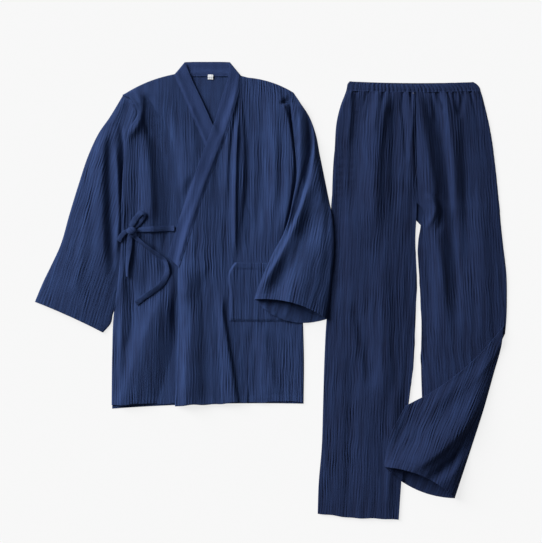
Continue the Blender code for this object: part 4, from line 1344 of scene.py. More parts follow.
@dataclass
class Tube(Cloth):
    """A flattened tube of cloth, such as a sleeve: a layer below, round sides, a layer on top.

    The mouth is the last ring, where a sleeve or a leg gapes, and the lip is its lower edge.
    """

    node: str
    table: Sequence[Ring]
    over: Grid
    under: Grid
    along: Grid
    creases: Sequence[Crease] = ()
    crinkle: Crinkle = Crinkle()
    held: Hold = Hold.LAID
    wall: float = 0.0012
    side_radius: float = 0.0022
    inner_gap: float = 0.0008
    gathers: Optional[Gathers] = None
    folded_start: bool = False
    hem_inset: float = 0.012
    passes: int = 30
    calms: Sequence[Calm] = ()
    crease_fade: float = 1.6
    crinkle_fade: float = 3.0
    mouth_growth: int = 4
    mouth_power: float = 0.0
    mouth_lean: float = 0.0
    mouth_crinkle: float = 0.0
    mouth_reach: float = 0.06
    lip: float = 0.0
    lip_reach: float = 0.018
    lip_place: float = 0.17
    lip_spread: float = 0.17
    under_offset: float = 0.311
    under_limit: float = 1.5

    def lower_layer(self, flat: Grid, base: Grid) -> Layer:
        """Shape the layer below, which is crinkled on the bare floor and at the mouth.

        Args:
            flat: The layer's (x, y) points.
            base: How high the tube lies there.

        Returns:
            The layer.
        """
        across, along = self.crinkle.grain(flat)
        ridges = self.crinkle.at(across + self.under_offset, along)
        to_mouth = 1 - self.along[:, None]
        shown = np.maximum(base < BARE_HEIGHT,
                           self.mouth_crinkle * np.exp(-(to_mouth / self.mouth_reach) ** 2))
        height = base + self.crinkle.depth * np.clip(ridges, 0.0, self.under_limit) * shown
        raised = (np.exp(-(to_mouth / self.lip_reach) ** 2)
                  * np.exp(-((self.under - self.lip_place) / self.lip_spread) ** 2))
        return Layer(np.dstack((flat, height + self.lip * raised)), np.dstack((across, along)),
                     ridges)

    def upper_layer(self, flat: Grid, height: Grid, base: Grid, seat: Grid) -> Layer:
        """Shape the layer on top, with its creases, gathers, crinkle and hem.

        Args:
            flat: The layer's (x, y) points.
            height: The height of each ring.
            base: How high the tube lies at the columns of the layer below.
            seat: The least height at each of this layer's points.

        Returns:
            The layer.
        """
        base = np.stack([np.interp(self.over, self.under, line) for line in base])
        mouth = self.along[:, None] ** self.mouth_growth
        arch = (np.sin(np.pi * self.over ** (1 - self.mouth_lean * mouth))
                ** (CROWN_POWER - self.mouth_power * mouth))
        inside = np.minimum(arch * self.crease_fade, 1.0)
        rim = 2 * self.side_radius
        swell = np.maximum(height[:, None] - base - rim, 0.0) * arch
        least = np.maximum(base, seat) + 2 * self.wall + self.inner_gap
        top = soft_maximum(base + rim + swell, least + self.crinkle.depth)
        top = soft_maximum(top + crease_height(flat, self.creases) * inside, least)
        if self.gathers is not None:
            top = top + self.gathers.waves(self.over) * inside
        across, along = self.crinkle.grain(flat)
        ridges = self.crinkle.at(across, along)
        shown = np.minimum(arch * self.crinkle_fade, 1.0) * crinkle_left(flat, self.calms)
        away = (side_distances(flat)[Edge.END] - self.hem_inset) / GROOVE_WIDTH
        top = top + self.crinkle.depth * ridges * shown - GROOVE_DEPTH * np.exp(-away ** 2)
        return Layer(np.dstack((flat, top)), np.dstack((across, along)), ridges)

    def side_arcs(self, over: Grid, under: Grid, outward: Grid) -> list[Grid]:
        """Round the tube's two sides between its layers.

        Args:
            over: The points of the layer on top.
            under: The points of the layer below.
            outward: The way from left to right on each ring.

        Returns:
            The points of the left side, and of the right side.
        """
        turns = np.pi / 2 - np.pi * np.arange(1, ARC_STEPS + 1) / (ARC_STEPS + 1)
        arcs = []
        for column, way, order in ((0, -outward, turns[::-1]), (-1, outward, turns)):
            middle = (over[:, column] + under[:, column]) / 2
            half = (over[:, column, 2] - under[:, column, 2]) / 2
            flat = middle[:, None, :2] + way[:, None] * self.side_radius * np.cos(order)[:, None]
            height = middle[:, None, 2] + half[:, None] * np.sin(order)
            arcs.append(np.dstack((flat, height)))
        return arcs

    def laid(self, pile: Pile) -> Laid:
        """Shape the tube on the pile.

        Args:
            pile: The cloth laid so far.

        Returns:
            The tube as laid.
        """
        line = Ring(*rows_between(self.table, self.along, RING_PLACES).T)
        left = np.column_stack((line.left_x, line.left_y))
        right = np.column_stack((line.right_x, line.right_y))
        width = np.linalg.norm(right - left, axis=1)[:, None]
        edge = self.side_radius / width
        flat_under, flat_over = (points_across(left, right, bow, edge + (1 - 2 * edge) * shares)
                                 for bow, shares in ((line.bow_under, self.under),
                                                     (line.bow_over, self.over)))
        base = spread_over(clear_of(pile.top(flat_under)), self.passes)
        under = self.lower_layer(flat_under, base)
        over = self.upper_layer(flat_over, line.height, base, clear_of(pile.top(flat_over)))
        arcs = self.side_arcs(over.points, under.points, (right - left) / width)
        side = np.zeros((len(self.along), ARC_STEPS))
        grain = (over.grain, np.repeat(over.grain[:, -1:], ARC_STEPS, axis=1),
                 under.grain[:, ::-1], np.repeat(over.grain[:, :1], ARC_STEPS, axis=1))
        whole = Layer(
            np.concatenate((over.points, arcs[1], under.points[:, ::-1], arcs[0]), axis=1),
            np.concatenate(grain, axis=1),
            np.concatenate((over.ridges, side, under.ridges[:, ::-1], side), axis=1))
        return Laid(self.fold_over(whole) if self.folded_start else whole, over.points,
                    flat_size(flat_over, layers=2), self.wall, self.held,
                    (Seam(Edge.END, self.hem_inset),), closed=True, welded=self.folded_start)

    def fold_over(self, whole: Layer) -> Layer:
        """Close the first ring into a round folded edge, both layers having the same columns.

        Args:
            whole: The whole tube.

        Returns:
            The tube with the edge's rings before its first one.
        """
        count = len(self.over)
        right_side = slice(count, count + ARC_STEPS)
        below = slice(count + ARC_STEPS, 2 * count + ARC_STEPS)
        left_side = slice(2 * count + ARC_STEPS, None)
        first = whole.points[0]
        partner = np.arange(len(first))
        partner[:count] = partner[below][::-1]
        partner[below] = np.arange(count)[::-1]
        middle = (first + first[partner]) / 2
        way = (first - whole.points[1])[:, :2]
        way = (way + way[partner]) / 2
        for values in (middle, way):
            values[right_side] = values[count - 1]
            values[left_side] = values[0]
        way /= np.linalg.norm(way, axis=1)[:, None]
        out = np.concatenate((way, np.zeros((len(first), 1))), axis=1) * self.side_radius
        edge = np.array([middle + (first - middle) * math.cos(turn) + out * math.sin(turn)
                         for turn in FOLD_TURNS])
        starts = (edge, *(np.repeat(values[:1], len(FOLD_TURNS), axis=0) for values in whole[1:]))
        return Layer(*(np.concatenate(pair, axis=0) for pair in zip(starts, whole)))


@dataclass
class Strap(Cloth):
    """A narrow tie of folded cloth along a bent line, rolled where it stands on its edge."""

    node: str
    table: Sequence[Stop]
    spacing: float = 0.0016
    columns: int = 9
    wall: float = 0.0018
    edge_drop: float = 0.0007
    edge_power: int = 4
    wobble: float = 0.0004
    wobble_pace: float = 260.0
    crinkle: Crinkle = Crinkle(depth=0.00012, spacing=0.004, run=0.012, broad_share=0.0, seed=41)
    grain_across: float = 0.3
    grain_along: float = 0.2
    passes: int = 14

    def laid(self, pile: Pile) -> Laid:
        """Shape the strap along its line, on its face or its edge.

        Args:
            pile: The cloth laid so far.

        Returns:
            The strap as laid.
        """
        stops = np.array(self.table)[:, STOP_PLACES]
        whole = float(np.linalg.norm(np.diff(stops, axis=0), axis=1).sum())
        places = np.linspace(0.0, 1.0, max(round(whole / self.spacing), 4) + 1)
        line = Stop(*rows_between(self.table, places, STOP_PLACES).T[..., None])
        middle = np.hstack((line.x, line.y))
        ahead = np.gradient(middle, axis=0)
        ahead /= np.maximum(np.linalg.norm(ahead, axis=1), TINY)[:, None]
        side = np.stack((-ahead[:, 1], ahead[:, 0]), axis=1)
        shares = np.sin(np.linspace(-0.5, 0.5, self.columns) * np.pi) / 2
        roll = np.radians(line.roll)
        flat = middle[:, None] + side[:, None] * (line.width * shares * np.cos(roll))[..., None]
        rest = clear_of(pile.top(flat)).max(axis=1)[:, None]
        rest = spread_over(np.repeat(rest, 2, axis=1), self.passes)[:, :1]
        stand = line.width * np.where(roll > 0, shares + 0.5, shares - 0.5) * np.sin(roll)
        across = self.grain_across + line.width * shares
        along = np.repeat(places[:, None] * whole, self.columns, axis=1) + self.grain_along
        ridges = self.crinkle.at(across, along)
        round_off = self.edge_drop * (2 * np.abs(shares)) ** self.edge_power
        sway = (self.wobble * np.sin(places * whole * self.wobble_pace)[:, None]
                * (1 - 4 * shares ** 2))
        height = (rest + line.lift + stand + self.wall - round_off
                  + np.maximum(sway, 0.0) + self.crinkle.depth * ridges)
        points = np.dstack((flat, height))
        return Laid(Layer(points, np.dstack((across, along)), ridges), points,
                    (STRAP_WIDTH, whole, STRAP_WIDTH * whole), self.wall, Hold.FOLDED)


class Wrap(NamedTuple):
    """A groove round the knot: the normal and distance of its plane, its width and its share."""

    along: float
    y: float
    z: float
    distance: float
    width: float
    share: float


@dataclass
class Knot:
    """The bow's knot: the tie wound once round the strands and pulled tight."""

    node: str = "tie_knot"
    centre: tuple[float, float] = (-0.3065, 0.1315)
    radii: tuple[float, float, float] = (0.0112, 0.0090, 0.0050)
    flat_share: float = 0.5
    turn: float = 38.0
    segments: int = 56
    rings: int = 36
    reach: int = 7
    sink: float = 0.0015
    wrap_depth: float = 0.16
    wraps: tuple[Wrap, ...] = (Wrap(1.0, 0.0, 0.0, 0.34, 0.10, 1.0),
                               Wrap(1.0, 0.0, 0.0, -0.36, 0.10, 1.0),
                               Wrap(0.5, 0.8, 1.0, 0.20, 0.09, 0.6))
    wound_length: float = 0.032

    def groove(self, x: float, y: float, z: float) -> float:
        """Add up the grooves between the windings.

        Args:
            x: The first part of a place on the unit sphere.
            y: The second part.
            z: The third part.

        Returns:
            How deep the grooves are there, in shares.
        """
        turn = math.radians(self.turn)
        over = x * math.cos(turn) + y * math.sin(turn)
        return sum(wrap.share * math.exp(-((wrap.along * over + wrap.z * z - wrap.distance
                                            + wrap.y * y) / wrap.width) ** 2)
                   for wrap in self.wraps)

    def lay(self, pile: Pile, materials: Materials, rests_on: Sequence[str]) -> bpy.types.Object:
        """Set the knot on the strands' ends.

        Args:
            pile: The cloth laid so far.
            materials: The material of each slot.
            rests_on: The names of what it lies on; not used.

        Returns:
            The finished piece.
        """
        shape = bmesh.new()
        bmesh.ops.create_uvsphere(shape, u_segments=self.segments, v_segments=self.rings,
                                  radius=1.0)
        floor = float(pile.top(np.array([self.centre]), reach=self.reach).max()) - self.sink
        for vertex in shape.verts:
            x, y, z = vertex.co
            size = 1.0 - self.wrap_depth * self.groove(x, y, z)
            raised = max(z * size, -self.flat_share) + self.flat_share
            vertex.co = (self.centre[0] + x * size * self.radii[0],
                         self.centre[1] + y * size * self.radii[1],
                         floor + raised * self.radii[2])
        name = f"{self.node}_piece"
        mesh = bpy.data.meshes.new(name)
        shape.to_mesh(mesh)
        shape.free()
        mesh.shade_smooth()
        piece = new_object(name, mesh)
        put_on(piece, self.node, Slot.CLOTH, materials)
        return piece


Operand = Union["Signal", float]


class Signal:
    """A node's output, on which Python's arithmetic adds Math nodes."""

    def __init__(self, graph: "Graph", socket: bpy.types.NodeSocket) -> None:
        """Wrap a socket of a graph."""
        self.graph = graph
        self.socket = socket

    def __add__(self, other: Operand) -> "Signal":
        """This plus other."""
        return self.graph.maths("ADD", self, other)

    def __radd__(self, other: Operand) -> "Signal":
        """Other plus this."""
        return self.graph.maths("ADD", other, self)

    def __sub__(self, other: Operand) -> "Signal":
        """This minus other."""
        return self.graph.maths("SUBTRACT", self, other)

    def __mul__(self, other: Operand) -> "Signal":
        """This times other."""
        return self.graph.maths("MULTIPLY", self, other)

    def sine(self) -> "Signal":
        """The sine of this."""
        return self.graph.maths("SINE", self)

    def held(self) -> "Signal":
        """This, held between 0 and 1."""
        return self.graph.part(self.graph.node("ShaderNodeClamp", {}, {"Value": self}), "Result")


class Graph:
    """The shader nodes of one material."""

    def __init__(self, name: str) -> None:
        """Start a material with no nodes.

        Args:
            name: The material's name.
        """
        self.material = bpy.data.materials.new(name)
        self.material.use_nodes = True
        self.tree = self.material.node_tree
        self.tree.nodes.clear()

    def node(self, kind: str, settings: dict[str, object],
             inputs: dict[Union[str, int], object]) -> bpy.types.Node:
        """Add a node.

        Args:
            kind: The node's type.
            settings: Its settings, set first.
            inputs: Its sockets' values, or signals to link.

        Returns:
            The node.
        """
        node = self.tree.nodes.new(kind)
        for name, value in settings.items():
            setattr(node, name, value)
        for key, value in inputs.items():
            if isinstance(value, Signal):
                self.tree.links.new(value.socket, node.inputs[key])
            else:
                node.inputs[key].default_value = value
        return node

    def part(self, node: bpy.types.Node, output: Union[str, int]) -> Signal:
        """Take one of a node's outputs as a signal."""
        return Signal(self, node.outputs[output])

    def maths(self, operation: str, *values: Operand) -> Signal:
        """Add a Math node."""
        node = self.node("ShaderNodeMath", {"operation": operation}, dict(enumerate(values)))
        return self.part(node, 0)

    def grain(self) -> Signal:
        """Read the distances across and along the grain."""
        return self.part(self.node("ShaderNodeUVMap", {"uv_map": "grain"}, {}), 0)

    def split(self, place: Signal) -> tuple[Signal, Signal]:
        """Split a place into its first two parts."""
        axes = self.node("ShaderNodeSeparateXYZ", {}, {0: place})
        return self.part(axes, 0), self.part(axes, 1)

    def noise(self, place: Signal, scale: float, detail: float = 2.0,
              roughness: float = 0.55) -> Signal:
        """Add a noise texture."""
        node = self.node("ShaderNodeTexNoise", {}, {"Vector": place, "Scale": scale,
                                                    "Detail": detail, "Roughness": roughness})
        return self.part(node, 0)

    def stretched(self, place: Signal, scale: Colour) -> Signal:
        """Scale a place by three numbers."""
        node = self.node("ShaderNodeVectorMath", {"operation": "MULTIPLY"}, {0: place, 1: scale})
        return self.part(node, 0)

    def blend(self, share: Signal, first: Colour, second: Colour) -> Signal:
        """Mix two colours."""
        node = self.node("ShaderNodeMix", {"data_type": "RGBA"},
                         {0: share, 6: solid(first), 7: solid(second)})
        return self.part(node, 2)

    def bump(self, strength: float, distance: float, height: Signal) -> Signal:
        """Turn a height into a bent normal."""
        node = self.node("ShaderNodeBump", {}, {"Strength": strength, "Distance": distance,
                                                "Height": height})
        return self.part(node, 0)

    def finish(self, settings: dict[str, object]) -> bpy.types.Material:
        """Add the Principled shader and the output.

        Args:
            settings: The shader's values, or signals to link.

        Returns:
            The finished material.
        """
        shader = self.node("ShaderNodeBsdfPrincipled", {}, settings)
        self.node("ShaderNodeOutputMaterial", {}, {"Surface": self.part(shader, 0)})
        return self.material


def solid(colour: Colour) -> tuple[float, float, float, float]:
    """Give a colour full alpha."""
    return (*colour, 1.0)


@dataclass(frozen=True)
class GauzeFinish:
    """Crinkled double gauze: matt, yarn-dyed, darker in its valleys as painted shade, lighter on
    worn ridges.
    """

    name: str
    valley: Colour
    ridge: Colour
    weave_pitch: float = 0.0011
    weave_share: float = 0.30
    crimp_scale: float = 620.0
    crimp_stretch: Colour = (1.0, 0.16, 1.0)
    crimp_share: float = 1.0
    slub_scale: float = 260.0
    slub_stretch: Colour = (1.0, 0.05, 1.0)
    patch_scale: float = 14.0
    tint_detail: float = 3.0
    middle_tint: float = 0.48
    crinkle_wear_and_shade: float = 0.10
    slub_tint: float = 0.7
    patch_tint: float = 0.5
    relief: float = 0.00035
    bump: float = 0.8
    roughness: float = 0.88
    crimp_roughness: float = 0.12
    sheen: float = 0.02
    sheen_roughness: float = 0.45
    sheen_tint: Colour = (0.42, 0.50, 0.72)
    specular: float = 0.05

    def material(self) -> bpy.types.Material:
        """Build the material.

        Returns:
            The finished material.
        """
        graph = Graph(self.name)
        grain = graph.grain()
        ridges = graph.part(graph.node("ShaderNodeAttribute", {"attribute_name": "crinkle"}, {}), 2)
        across, along = graph.split(grain)
        turns = 2 * math.pi / self.weave_pitch
        weave = (across * turns).sine() * (along * turns).sine()
        crimps = graph.noise(graph.stretched(grain, self.crimp_stretch), self.crimp_scale)
        slubs = graph.noise(graph.stretched(grain, self.slub_stretch), self.slub_scale,
                            self.tint_detail)
        patches = graph.noise(grain, self.patch_scale, self.tint_detail)
        # The base colour follows the crinkle's height: the darker valleys are painted shade, and
        # the lighter ridges are partly wear.
        tint = (self.middle_tint + ridges * self.crinkle_wear_and_shade + (slubs - 0.5) * self.slub_tint
                + (patches - 0.5) * self.patch_tint).held()
        relief = crimps * self.crimp_share + weave * self.weave_share
        return graph.finish({
            "Base Color": graph.blend(tint, self.valley, self.ridge),
            "Roughness": self.roughness + (crimps - 0.5) * self.crimp_roughness,
            "Normal": graph.bump(self.bump, self.relief, relief),
            "Sheen Weight": self.sheen,
            "Sheen Roughness": self.sheen_roughness,
            "Sheen Tint": solid(self.sheen_tint),
            "Specular IOR Level": self.specular,
        })


@dataclass(frozen=True)
class TapeFinish:
    """The label's smooth woven tape, left blank."""

    name: str = "label_tape"
    colour: Colour = (0.84, 0.85, 0.86)
    shade: Colour = (0.74, 0.76, 0.79)
    rib_pitch: float = 0.0006
    rib_share: float = 0.25
    mottle_scale: float = 900.0
    mottle_share: float = 0.5
    mottle_roughness: float = 0.1
    relief: float = 0.0001
    bump: float = 0.5
    roughness: float = 0.55

    def material(self) -> bpy.types.Material:
        """Build the material.

        Returns:
            The finished material.
        """
        graph = Graph(self.name)
        grain = graph.grain()
        along = graph.split(grain)[1]
        ribs = (along * (2 * math.pi / self.rib_pitch)).sine() * 0.5 + 0.5
        mottle = graph.noise(grain, self.mottle_scale)
        tint = (mottle * self.mottle_share + ribs * self.rib_share).held()
        return graph.finish({
            "Base Color": graph.blend(tint, self.shade, self.colour),
            "Roughness": self.roughness + mottle * self.mottle_roughness,
            "Normal": graph.bump(self.bump, self.relief, ribs),
        })


@dataclass(frozen=True)
class PaperFinish:
    """The studio's pale matt floor."""

    name: str = "studio_paper"
    colour: Colour = (0.14, 0.14, 0.14)
    dimmed: float = 0.992
    mottle_scale: float = 3.0
    roughness: float = 0.95
    specular: float = 0.1
    glow: float = 0.78

    def material(self) -> bpy.types.Material:
        """Build the material.

        Returns:
            The finished material.
        """
        graph = Graph(self.name)
        place = graph.part(graph.node("ShaderNodeTexCoord", {}, {}), "Object")
        mottle = graph.noise(place, self.mottle_scale)
        low = tuple(self.dimmed * part for part in self.colour)
        return graph.finish({
            "Base Color": graph.blend(mottle, low, self.colour),
            "Roughness": self.roughness,
            "Specular IOR Level": self.specular,
            "Emission Color": solid((1.0, 1.0, 1.0)),
            "Emission Strength": self.glow,
        })


@dataclass
class Studio:
    """A pale floor, soft daylight from the upper left and the camera straight above."""

    floor_size: float = 12.0
    sun_strength: float = 6.6
    sun_softness: float = 38.0
    sun_elevation: float = 27.0
    sun_from: float = 145.0
    sun_distance: float = 3.0
    sky_colour: Colour = (0.97, 0.985, 1.0)
    sky_strength: float = 0.14
    camera_height: float = 3.5
    camera_y: float = 0.042
    lens: float = 105.0

    def floor(self) -> None:
        """Lay the floor."""
        half = self.floor_size / 2
        corners = [(-half, -half, 0.0), (half, -half, 0.0), (half, half, 0.0), (-half, half, 0.0)]
        mesh = bpy.data.meshes.new(FLOOR_NAME)
        mesh.from_pydata(corners, [], [(0, 1, 2, 3)])
        mesh.materials.append(PaperFinish().material())
        new_object(FLOOR_NAME, mesh)

    def lights(self) -> None:
        """Light the scene from a window and the sky."""
        sun = bpy.data.lights.new("window_light", "SUN")
        sun.energy = self.sun_strength
        sun.angle = math.radians(self.sun_softness)
        turn, rise = math.radians(self.sun_from), math.radians(self.sun_elevation)
        source = Vector((math.cos(turn) * math.cos(rise), math.sin(turn) * math.cos(rise),
                         math.sin(rise)))
        light = new_object("window_light", sun)
        light.rotation_euler = source.to_track_quat("Z", "Y").to_euler()
        light.location = source * self.sun_distance
        world = bpy.data.worlds.new("studio_sky")
        world.use_nodes = True
        background = world.node_tree.nodes["Background"]
        background.inputs["Color"].default_value = solid(self.sky_colour)
        background.inputs["Strength"].default_value = self.sky_strength
        bpy.context.scene.world = world

    def camera(self) -> None:
        """Set the camera above the set."""
        view = bpy.data.cameras.new("overhead_camera")
        view.lens = self.lens
        camera = new_object("overhead_camera", view)
        camera.location = (0.0, self.camera_y, self.camera_height)
        bpy.context.scene.camera = camera
        bpy.context.scene.view_settings.view_transform = "Standard"

    def build(self) -> None:
        """Build the floor, the lights and the camera."""
        self.floor()
        self.lights()
        self.camera()
        log.info("studio: floor %.0f m, camera %.2f m above", self.floor_size, self.camera_height)


@dataclass
class Jacket:
    """The crossed jacket: back, two fronts, collar, sleeves, pocket and label.

    The first numbers are the lengths and widths that the grid lines are spaced for, and the lines'
    distances. The back is fine only in the span inside the neck, where it shows.
    """

    length: float = 0.70
    back_width: float = 0.38
    right_width: float = 0.28
    left_width: float = 0.26
    spacing: float = 0.00148
    spacing_along: float = 0.0034
    under_spacings: tuple[tuple[float, float], ...] = ((0.5, 0.00124), (1.0, 0.0021))
    hidden_spacing: float = 0.006
    hidden_spacing_along: float = 0.014
    neck_span: tuple[float, float] = (0.27, 0.74)
    neck_span_along: float = 0.24
    neck_spacing: float = 0.0016
    neck_spacing_along: float = 0.004
    collar_width: float = 0.034
    collar_length: float = 0.46
    neck_width: float = 0.032
    neck_length: float = 0.13
    collar_spacing: float = 0.0017
    collar_spacing_along: float = 0.0030
    right_sleeve_width: float = 0.150
    right_sleeve_length: float = 0.52
    left_sleeve_width: float = 0.145
    left_sleeve_length: float = 0.46
    left_sleeve_spacing: float = 0.0030
    sleeve_spacing_along: float = 0.0036
    pocket_width: float = 0.137
    pocket_length: float = 0.13
    small_spacing_along: float = 0.0026
    label_width: float = 0.0146
    label_length: float = 0.0124
    label_spacing: float = 0.0010
    hem_inset: float = 0.016
    hem_wave: float = 0.0011
    cuff_inset: float = 0.012
    collar_wall: float = 0.0008
    collar_loft: float = 0.0034
    collar_stitch: float = 0.0020
    pocket_stitch: float = 0.002
    pocket_band: float = 0.016
    pocket_loft: float = 0.0026
    pocket_rise: float = 0.0009
    pocket_wall: float = 0.0009
    label_wall: float = 0.0006
    body_crinkle: Crinkle = Crinkle(seed=11)
    under_crinkle: Crinkle = Crinkle(seed=12, depth=0.00031)
    back_crinkle: Crinkle = Crinkle(seed=13, depth=0.00012)
    pocket_crinkle: Crinkle = Crinkle(seed=14)
    collar_crinkle: Crinkle = Crinkle(seed=15, depth=0.00006, angle=84.0)
    right_sleeve_crinkle: Crinkle = Crinkle(seed=16, angle=73.0, depth=0.00024)
    left_sleeve_crinkle: Crinkle = Crinkle(seed=17, angle=77.0)
    label_crinkle: Crinkle = Crinkle(seed=18, depth=0.00006, broad_share=0.0)
    pieces: list[bpy.types.Object] = field(default_factory=list)

    def right_sleeve(self) -> Tube:
        """Shape the wearer's right sleeve, which lies under the body."""
        return Tube("sleeve_right", SLEEVE_RIGHT, evenly(self.right_sleeve_width, self.spacing),
                    evenly(self.right_sleeve_width, self.spacing_along),
                    evenly(self.right_sleeve_length, self.sleeve_spacing_along),
                    SLEEVE_RIGHT_CREASES, self.right_sleeve_crinkle, hem_inset=self.cuff_inset,
                    calms=SLEEVE_RIGHT_CALMS)

    def left_sleeve(self) -> Tube:
        """Shape the wearer's left sleeve, which lies over the body and gapes at the cuff."""
        return Tube("sleeve_left", SLEEVE_LEFT, evenly(self.left_sleeve_width, self.spacing),
                    evenly(self.left_sleeve_width, self.left_sleeve_spacing),
                    evenly(self.left_sleeve_length, self.sleeve_spacing_along),
                    SLEEVE_LEFT_CREASES, self.left_sleeve_crinkle, hem_inset=self.cuff_inset,
                    calms=SLEEVE_LEFT_CALMS, mouth_power=0.42, mouth_lean=0.34,
                    mouth_crinkle=2.6, lip=0.0035)

    def back(self) -> Panel:
        """Shape the back body, with fine lines only where it shows.

        Returns:
            The panel.
        """
        left, right = self.neck_span
        across = spaced_shares(self.back_width, (left, self.hidden_spacing),
                               (right, self.neck_spacing), (1.0, self.hidden_spacing))
        along = spaced_shares(self.length, (self.neck_span_along, self.neck_spacing_along),
                              (1.0, self.hidden_spacing_along))
        return Panel("jacket_back", JACKET_BACK, across, along, crinkle=self.back_crinkle,
                     pressed=True, rolls=sides(HIDDEN_RADIUS, HIDDEN_RADIUS))

    def fronts(self) -> list[Panel]:
        """Shape the two fronts.

        Returns:
            The wearer's right one, which lies below, and the left one.
        """
        hem = (Seam(Edge.END, self.hem_inset),)
        along = evenly(self.length, self.spacing_along)
        under = Panel("front_right", FRONT_RIGHT,
                      spaced_shares(self.right_width, *self.under_spacings), along,
                      FRONT_RIGHT_CREASES, self.under_crinkle,
                      rolls=sides(SIDE_SEAM, HIDDEN_RADIUS), seams=hem, hem_wave=self.hem_wave,
                      calms=FRONT_RIGHT_CALMS)
        over = Panel("front_left", FRONT_LEFT, evenly(self.left_width, self.spacing), along,
                     FRONT_LEFT_CREASES, self.body_crinkle,
                     rolls=sides(HIDDEN_RADIUS, SIDE_SEAM), seams=hem, passes=160,
                     hem_wave=self.hem_wave, calms=FRONT_LEFT_CALMS)
        return [under, over]

    def collar(self) -> list[Panel]:
        """Shape the stretches of the collar's band.

        Returns:
            Those behind the neck, on the front below and on the front on top.
        """
        across = evenly(self.collar_width, self.collar_spacing)
        along = evenly(self.collar_length, self.collar_spacing_along)
        band = {"crinkle": self.collar_crinkle, "slot": Slot.COLLAR, "wall": self.collar_wall,
                "seams": (Seam(Edge.LEFT, self.collar_stitch),
                          Seam(Edge.RIGHT, self.collar_stitch))}
        behind = Panel("collar_back", COLLAR_BACK, evenly(self.neck_width, self.collar_spacing),
                       evenly(self.neck_length, self.small_spacing_along), **band)
        under = Panel("collar_right", COLLAR_RIGHT, across, along, loft_right=self.collar_loft,
                      loft_end=0.5, flush=(Edge.LEFT,), **band)
        over = Panel("collar_left", COLLAR_LEFT, across, along, loft_left=self.collar_loft,
                     flush=(Edge.RIGHT,), **band)
        return [behind, under, over]

    def label(self) -> Panel:
        """Shape the blank label inside the neck."""
        return Panel("neck_label", LABEL, evenly(self.label_width, self.label_spacing),
                     evenly(self.label_length, self.label_spacing), crinkle=self.label_crinkle,
                     slot=Slot.LABEL, wall=self.label_wall, rolls=sides(*[self.label_wall] * 4))

    def pocket(self) -> Panel:
        """Shape the patch pocket, sewn down on three sides.

        Returns:
            The panel.
        """
        sewn_down = (Edge.LEFT, Edge.RIGHT, Edge.END)
        seams = (*(Seam(edge, self.pocket_stitch) for edge in sewn_down),
                 Seam(Edge.START, self.pocket_band))
        return Panel("pocket", POCKET, evenly(self.pocket_width, self.spacing),
                     evenly(self.pocket_length, self.small_spacing_along),
                     crinkle=self.pocket_crinkle, wall=self.pocket_wall,
                     loft_left=self.pocket_loft, loft_right=self.pocket_loft, loft_end=1.0,
                     loft_fade=0.9, flush=sewn_down, flush_width=0.0050, groove=0.0004,
                     hem_rise=self.pocket_rise, seams=seams)

    def build_body(self, pile: Pile, materials: Materials) -> None:
        """Lay the right sleeve and the body, from the floor up.

        Args:
            pile: The cloth laid so far.
            materials: The material of each slot.
        """
        front_right, front_left = self.fronts()
        collar_back, collar_right, collar_left = self.collar()
        below = [FLOOR_NAME]
        for part in (self.right_sleeve(), self.back(), collar_back, self.label(), front_right,
                     collar_right, front_left, collar_left, self.pocket()):
            self.pieces.append(part.lay(pile, materials, below))
            below = [FLOOR_NAME, self.pieces[-1].name]

    def build_left_sleeve(self, pile: Pile, materials: Materials) -> None:
        """Lay the left sleeve over the body."""
        self.pieces.append(self.left_sleeve().lay(pile, materials, [self.pieces[-1].name]))


